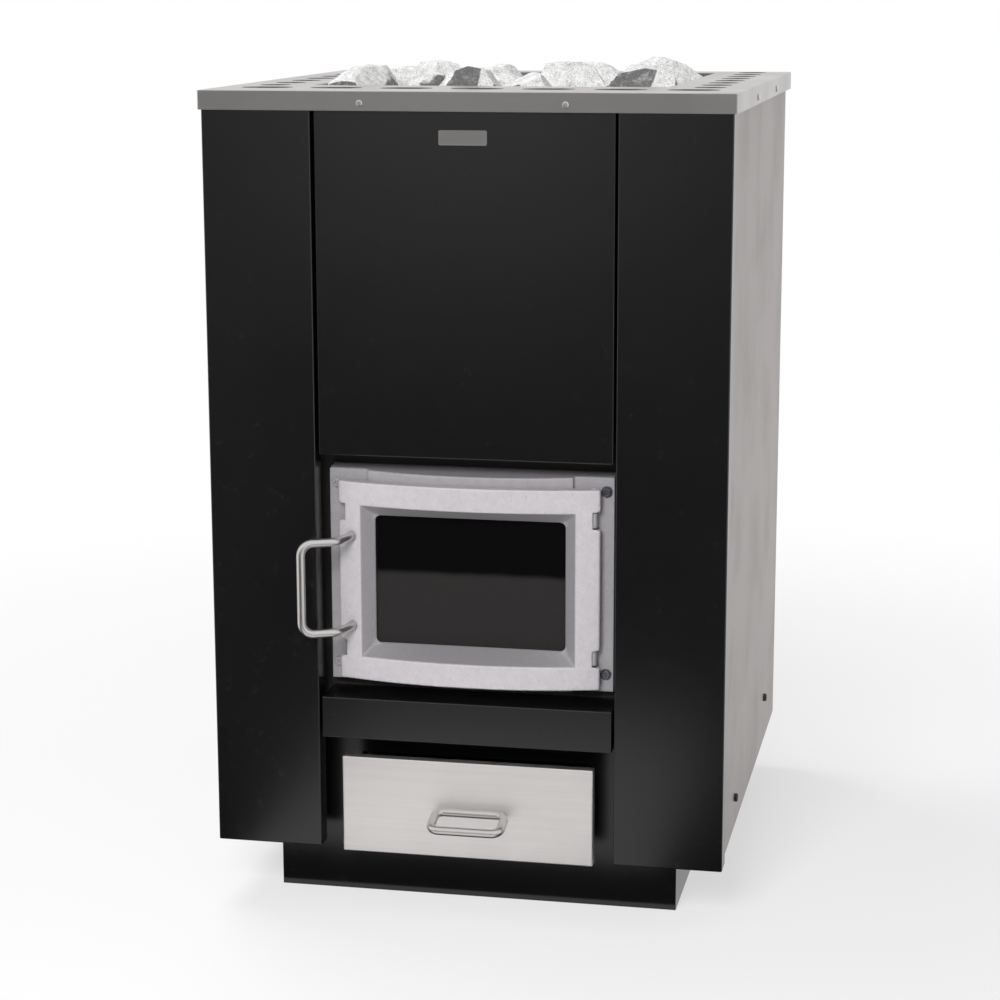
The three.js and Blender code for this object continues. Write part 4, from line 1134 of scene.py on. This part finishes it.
def set_screws(model, places):
    """Copies a screw onto each node, turned outwards, its top where the node's own head ends."""
    top = max(vert.co.z for vert in model.data.vertices)
    for node, side, turn, material in places:
        low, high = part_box(node)
        outward = OUTWARD[side]
        tip = (low + high) / 2 + outward * (abs((high - low).dot(outward)) / 2)
        turned = UP.rotation_difference(outward).to_matrix().to_4x4()
        mesh = model.data.copy()
        mesh.transform(Matrix.Translation(tip - outward * top) @ turned
                       @ Matrix.Rotation(turn, 4, "Z"))
        stand_for(add_object(node + "_turned", mesh), node, material, FASTENER_SHADING)
    bpy.data.objects.remove(model)


class STOVE_OT_turn_screws(bpy.types.Operator):
    """Turn the screws of the skirt, the side panels and the collar, the nuts and the pins"""

    bl_idname = "stove.turn_screws"
    bl_label = "Fasteners"
    bl_options = {"REGISTER", "UNDO"}

    def execute(self, context):
        corners = [(side, end) for side in ("left", "right") for end in ("front", "rear")]
        skirt = [("front_skirt_screw_" + side, "front", 0, "polished_rod")
                 for side in ("left", "right")]
        skirt += [(side + "_skirt_screw_" + end, side, 0, "polished_rod")
                  for side, end in corners]
        panel = [(side + "_panel_screw_" + end, side, turn, "blackened_steel")
                 for (side, end), turn in zip(corners, PANEL_TURNS)]
        collar = [("collar_screw_" + end + "_" + side, "front", turn, material)
                  for side, material in COLLAR_SCREW_FINISH.items()
                  for end, turn in zip(("upper", "lower"), COLLAR_TURNS)]
        for screw, places in (
                (SKIRT_SCREW, skirt), (PANEL_SCREW, panel), (COLLAR_SCREW, collar)):
            set_screws(screw_model(**screw), places)
        for node in ("upper_handle_nut", "lower_handle_nut",
                     "upper_hinge_pin", "lower_hinge_pin"):
            softened_copy(node, node + "_turned", NUT_EDGE, "blackened_steel", FASTENER_SHADING)
        return {"FINISHED"}


class STOVE_OT_stamp_plate(bpy.types.Operator):
    """Stamp the blank plate on the upper panel"""

    bl_idname = "stove.stamp_plate"
    bl_label = "Blank plate"
    bl_options = {"REGISTER", "UNDO"}

    def execute(self, context):
        piece = solid_copy("name_plate", "blank_plate")
        edit(piece)
        pick("FACE", lambda face: face.normal.y < -FACING)
        bpy.ops.mesh.inset(thickness=PLATE_RIM)
        pull_out(0, PLATE_SINK, 0)
        bpy.ops.transform.resize(value=PLATE_DRAFT, center_override=PLATE_MIDDLE)
        leave_edit()
        soften(piece, PLATE_EDGE)
        stand_for(piece, "name_plate", "plate_stainless")
        return {"FINISHED"}


# Stones

STONE_DICE, FILLER_DICE = 3, 7              # seeds
STONE_BREAKS, FILLER_BREAKS = (9, 0.74, 0.93), (15, 0.5, 0.74)  # count, and shares of reach
BREAK_SPREAD = (1, 1, 0.8)                  # of the breaks' directions along each axis
# Painted shade: a share of the broken faces is marked to be darkened as shadowed facets
SHADED_FACE_SHARE, SHADED_FACE_WIDTH = 0.42, 0.0024       # of the broken faces, and of their soft border
CHIPS = ((0.03, 0.0018), (0.009, 0.0015), (0.0035, 0.0008))     # size and depth
CHIP_DETAIL, CHIP_REST = 3, 0.95            # levels, and the shade that moves nothing
BED_GRID = (120, 126)
BED_LUMPS = (("VORONOI", 0.05, 0.03), ("CLOUDS", 0.02, 0.006))  # pattern, size and depth
# Where small stones are tried: columns and rows over the bed, and heights of their middles
FILLER_COLUMNS, FILLER_ROWS, FILLER_HEIGHTS = 60, 64, (0.012, 0.02, 0.028)
# How far one may sink into the bed, the least radius, and the ball that it is struck from
FILLER_SINK, FILLER_LEAST, FILLER_BALL = 0.004, 0.009, 1.25


def strike(piece, dice, breaks, nearest, farthest):
    """Strikes flat slices off a stone, each at a share of its reach.

    Returns a point and the normal of each new face that the stone finish paints in shade.
    """
    shaded_faces = []
    points = [vert.co.copy() for vert in piece.data.vertices]
    middle = sum(points, Vector()) / len(points)
    edit(piece)
    for _ in range(breaks):
        away = Vector([dice.gauss(0, spread) for spread in BREAK_SPREAD]).normalized()
        reach = max((point - middle).dot(away) for point in points)
        bpy.ops.mesh.select_all(action="SELECT")
        spot = middle + away * reach * dice.uniform(nearest, farthest)
        bpy.ops.mesh.bisect(plane_co=spot, plane_no=away, use_fill=True, clear_outer=True)
        if dice.random() < SHADED_FACE_SHARE:
            shaded_faces.append((spot, away))
    merge_points(BREAK_MERGE)
    leave_edit()
    return shaded_faces


def displace(piece, pattern, looks, **settings):
    """Shifts a piece's skin by a procedural pattern with those looks."""
    texture = bpy.data.textures.new("lumps", pattern)
    for key, value in looks.items():
        setattr(texture, key, value)
    apply_modifier(piece, "DISPLACE", texture=texture, texture_coords="LOCAL", **settings)
    bpy.data.textures.remove(texture)


def chip(piece, sizes, shaded_faces):
    """Turns a block into broken rock: rounded edges, hollows and small chips, never outwards."""
    soften(piece, sizes.stone_edge, segments=1, angle=STONE_ANGLE)
    apply_modifier(
        piece, "REMESH", mode="VOXEL", voxel_size=sizes.stone_voxel, use_smooth_shade=True)
    for size, depth in CHIPS:
        displace(piece, "CLOUDS", {"noise_scale": size, "noise_depth": CHIP_DETAIL},
                 strength=depth, mid_level=CHIP_REST)
    # Marks the struck faces that the stone finish paints in shade
    broken = piece.data.attributes.new("broken_face", "FLOAT", "POINT")
    for vert, share in zip(piece.data.vertices, broken.data):
        near = min((abs((vert.co - spot).dot(away)) for spot, away in shaded_faces), default=1)
        share.value = min(1, max(0, 2 - near / SHADED_FACE_WIDTH))


def broken_block(name, centre, radius, dice):
    """A small angular stone: a ball struck by flat breaks. Returns the faces to paint in shade
    too.
    """
    piece = start_from(
        bpy.ops.mesh.primitive_ico_sphere_add, name, subdivisions=3,
        radius=radius * FILLER_BALL, location=centre)
    fix_place()
    return piece, strike(piece, dice, *FILLER_BREAKS)


def shape_tree(node):
    mesh = frame["nodes"][node].data
    return BVHTree.FromPolygons([vert.co.copy() for vert in mesh.vertices],
                                [tuple(face.vertices) for face in mesh.polygons])


def within(tree, point):
    """Whether a point is inside a closed stone, by the face that is hit straight above."""
    spot, normal, _, _ = tree.ray_cast(point, UP)
    return spot is not None and normal.z > 0


class STOVE_OT_fill_stones(bpy.types.Operator):
    """Fill the bin with broken stones: a packed bed, large stones and small ones between"""

    bl_idname = "stove.fill_stones"
    bl_label = "Stones"
    bl_options = {"REGISTER", "UNDO"}

    def execute(self, context):
        sizes = context.scene.stove_sizes
        stones = sorted(node for node in frame["nodes"]
                        if node.startswith("stone_") and node[-1].isdigit())
        dice = random.Random(STONE_DICE)
        for node in stones:
            piece = solid_copy(node, node + "_broken")
            chip(piece, sizes, strike(piece, dice, *STONE_BREAKS))
            stand_for(piece, node, "sauna_stone", STONE_SHADING)
        self.bed()
        self.fillers(sizes, stones)
        return {"FINISHED"}

    def bed(self):
        """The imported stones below, seen only between the others: a block with a lumpy top."""
        low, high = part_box("lower_stones")
        centre, columns, rows = (low + high) / 2, *BED_GRID
        piece = start_from(
            bpy.ops.mesh.primitive_grid_add, "lower_stones_bed", x_subdivisions=columns,
            y_subdivisions=rows, size=1, location=(centre.x, centre.y, high.z))
        piece.scale = (high.x - low.x, high.y - low.y, 1)
        fix_place()
        for pattern, size, depth in BED_LUMPS:
            displace(piece, pattern, {"noise_scale": size},
                     direction="Z", strength=-depth, mid_level=0)
        edit(piece)
        bpy.ops.mesh.select_all(action="SELECT")
        pull_out(0, 0, low.z - high.z)
        bpy.ops.transform.resize(value=(1, 1, 0), center_override=(0, 0, low.z))
        turn_outwards()
        leave_edit()
        stand_for(piece, "lower_stones", "sauna_stone", STONE_SHADING)

    def fillers(self, sizes, stones):
        """Small stones where the large ones leave room, resting on the bed."""
        dice = random.Random(FILLER_DICE)
        taken = []
        for size, point in self.free_spots(stones):
            if len(taken) >= sizes.fillers or size < FILLER_LEAST:
                break
            radius = min(size, sizes.filler)
            if all((point - other).length > radius + far for other, far in taken):
                taken.append((point, radius))
        for number, (point, radius) in enumerate(taken, 1):
            piece, shaded_faces = broken_block("filler_stone_%02d" % number, point, radius, dice)
            chip(piece, sizes, shaded_faces)
            settle(piece, "stove", "sauna_stone", smooth=STONE_SHADING)

    def free_spots(self, stones):
        """Points over the bed that no stone covers, each after its room, the roomiest first."""
        trees = [shape_tree(node) for node in stones]
        low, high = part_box("lower_stones")
        spots = []
        for column in range(FILLER_COLUMNS):
            for row in range(FILLER_ROWS):
                x = low.x + (high.x - low.x) * (column + 0.5) / FILLER_COLUMNS
                y = low.y + (high.y - low.y) * (row + 0.5) / FILLER_ROWS
                wall = min(x - low.x, high.x - x, y - low.y, high.y - y)
                for height in FILLER_HEIGHTS:
                    point = Vector((x, y, high.z + height))
                    room = min(wall, *(tree.find_nearest(point)[3] for tree in trees))
                    if not any(within(tree, point) for tree in trees):
                        spots.append((min(room, height + FILLER_SINK), point))
        return sorted(spots, key=lambda spot: -spot[0])


# Stage

FLOOR_SIZE = 60
FLOOR_FADE = (0.5, 2.0, 0.6, 1)     # from near to far, how much of the floor is plain white
LAMPS = (   # name, place, target and size
    ("key", (-0.1, -3.2, 2.0), (0, -0.2, 0.5), 1.1),
    ("overhead", (-1.0, 0.6, 2.9), (0, 0, 0.6), 1.3),
    ("side", (2.6, 0.3, 1.9), (0.3, 0, 0.5), 1.4),
)
CLOTH_HEIGHT, CLOTHS = 0.004, (     # name, left, right, near and far
    ("near_flag", -0.5, 0.5, -0.27, -0.4),
    ("left_flag", -0.66, -0.31, -0.4, -1.1),
    ("right_flag", 0.2, 0.55, -0.4, -1.1),
    ("middle_flag", -1.05, 0.6, -1.1, -2.2),
    ("far_flag", -2, 0.7, -2.2, -4),
    ("last_flag", -3.6, 1, -4, -8),
)
CARD_PLACE, CARDS = -9.0, (         # name, left, right, bottom and top
    ("left_card", -6, -2.75, 0, 3.2),
    ("right_card", -1, 1.6, 0, 3.2),
)


class STOVE_OT_set_stage(bpy.types.Operator):
    """Set the floor, the lamps and the camera"""

    bl_idname = "stove.set_stage"
    bl_label = "Stage"
    bl_options = {"REGISTER", "UNDO"}

    def execute(self, context):
        scene = context.scene
        stage = scene.stove_stage
        scene.view_settings.view_transform = "Standard"
        self.floor(stage)
        self.flags()
        self.world(scene, stage)
        for lamp, power in zip(LAMPS, (stage.key, stage.top, stage.side)):
            self.lamp(*lamp, power)
        self.camera(scene, stage)
        return {"FINISHED"}

    def seen(self, finish):
        """One where a ray from the camera, a reflection or the glass looks, else zero."""
        camera, glossy, through = (
            finish.add("ShaderNodeLightPath", output=name)
            for name in ("Is Camera Ray", "Is Glossy Ray", "Is Transmission Ray"))
        both = camera.math("MAXIMUM", camera, glossy)
        return both.math("MAXIMUM", both, through)

    def floor(self, stage):
        floor = start_from(
            bpy.ops.mesh.primitive_grid_add, "studio_floor", x_subdivisions=8,
            y_subdivisions=8, size=FLOOR_SIZE, location=(0, 0, 0))
        finish = Finish(bpy.data.materials.new("studio_floor"))
        away = finish.add("ShaderNodeVectorMath", {"operation": "LENGTH"},
                          {0: finish.place((1, 1, 0))}, "Value")
        grain = finish.noise(finish.place(), scale=3)
        tone = finish.blend(grain * 0.04, tuple(stage.floor), shade(stage.floor, 0.95))
        matt = finish.add("ShaderNodeBsdfDiffuse", {}, {"Color": tone})
        white = finish.add("ShaderNodeEmission", {}, {"Color": WHITE, "Strength": 1})
        share = self.seen(finish) * finish.span(away, *FLOOR_FADE)
        mixed = finish.add("ShaderNodeMixShader", {}, {0: share, 1: matt, 2: white})
        finish.add("ShaderNodeOutputMaterial", {}, {"Surface": mixed})
        floor.data.materials.append(finish.owner)

    def flags(self):
        """Dark cloths and cards in front, beside pale strips, that only reflections see."""
        finish = Finish(bpy.data.materials.new("dark_cloth"))
        finish.surface(colour=CLOTH, rough=1, metal=0, gloss=0)
        for name, left, right, near, far in CLOTHS:
            self.flag(name, ((left + right) / 2, (near + far) / 2, CLOTH_HEIGHT), 0,
                      (right - left, abs(far - near), 1), finish.owner)
        for name, left, right, bottom, top in CARDS:
            self.flag(name, ((left + right) / 2, CARD_PLACE, (bottom + top) / 2), math.pi / 2,
                      (right - left, abs(top - bottom), 1), finish.owner)

    def flag(self, name, place, tilt, size, material):
        flag = start_from(
            bpy.ops.mesh.primitive_grid_add, name, x_subdivisions=4, y_subdivisions=4, size=1,
            rotation=(tilt, 0, 0), location=place)
        flag.scale = size
        fix_place()
        flag.data.materials.append(material)
        flag.visible_camera = flag.visible_diffuse = flag.visible_shadow = False

    def world(self, scene, stage):
        world = bpy.data.worlds.new("studio")
        scene.world = world
        finish = Finish(world)
        around, white = (
            finish.add("ShaderNodeBackground", {}, {"Color": WHITE, "Strength": strength})
            for strength in (stage.ambient, 1))
        mixed = finish.add(
            "ShaderNodeMixShader", {}, {0: self.seen(finish), 1: around, 2: white})
        finish.add("ShaderNodeOutputWorld", {}, {"Surface": mixed})

    def lamp(self, name, place, target, size, power):
        bpy.ops.object.light_add(type="AREA", location=place)
        lamp = bpy.context.active_object
        lamp.name = name
        lamp.data.size, lamp.data.energy = size, power
        lamp.visible_glossy = False
        aim = Vector(target) - Vector(place)
        lamp.rotation_euler = aim.to_track_quat("-Z", "Y").to_euler()

    def camera(self, scene, stage):
        bpy.ops.object.camera_add(location=stage.eye)
        camera = bpy.context.active_object
        down, roll, left = stage.turn
        camera.rotation_mode = "QUATERNION"
        camera.rotation_quaternion = (
            Matrix.Rotation(left, 3, "Z") @ Matrix.Rotation(math.pi / 2 - down, 3, "X")
            @ Matrix.Rotation(roll, 3, "Z")).to_quaternion()
        camera.data.lens = stage.lens
        camera.data.sensor_width = 36
        camera.data.clip_end = 200
        scene.camera = camera


operators = (
    STOVE_OT_set_stage, STOVE_OT_fold_front, STOVE_OT_fold_sides, STOVE_OT_fold_top,
    STOVE_OT_weld_body, STOVE_OT_roll_flue, STOVE_OT_cast_door, STOVE_OT_glaze_door,
    STOVE_OT_bend_handles, STOVE_OT_fold_drawer, STOVE_OT_turn_screws, STOVE_OT_stamp_plate,
    STOVE_OT_fill_stones,
)
setting_groups = {
    "stove_sizes": StoveSizes, "stove_colours": StoveColours, "stove_stage": StoveStage}


class STOVE_PT_panel(bpy.types.Panel):
    """The heater's pieces and settings"""

    bl_idname = "STOVE_PT_panel"
    bl_label = "Sauna heater"
    bl_space_type = "VIEW_3D"
    bl_region_type = "UI"
    bl_category = "Sauna heater"

    def draw(self, context):
        for operator in operators:
            self.layout.operator(operator.bl_idname)
        for name in setting_groups:
            group = getattr(context.scene, name)
            column = self.layout.box().column()
            for setting in group.__annotations__:
                column.prop(group, setting)


def register():
    for item in (*setting_groups.values(), *operators, STOVE_PT_panel):
        bpy.utils.register_class(item)
    for name, group in setting_groups.items():
        setattr(bpy.types.Scene, name, PointerProperty(type=group))


def unregister():
    for name in setting_groups:
        delattr(bpy.types.Scene, name)
    for item in reversed((*setting_groups.values(), *operators, STOVE_PT_panel)):
        bpy.utils.unregister_class(item)


def main():
    register()
    for operator in operators:
        family, name = operator.bl_idname.split(".")
        getattr(getattr(bpy.ops, family), name)()


if __name__ == "__main__":
    main()
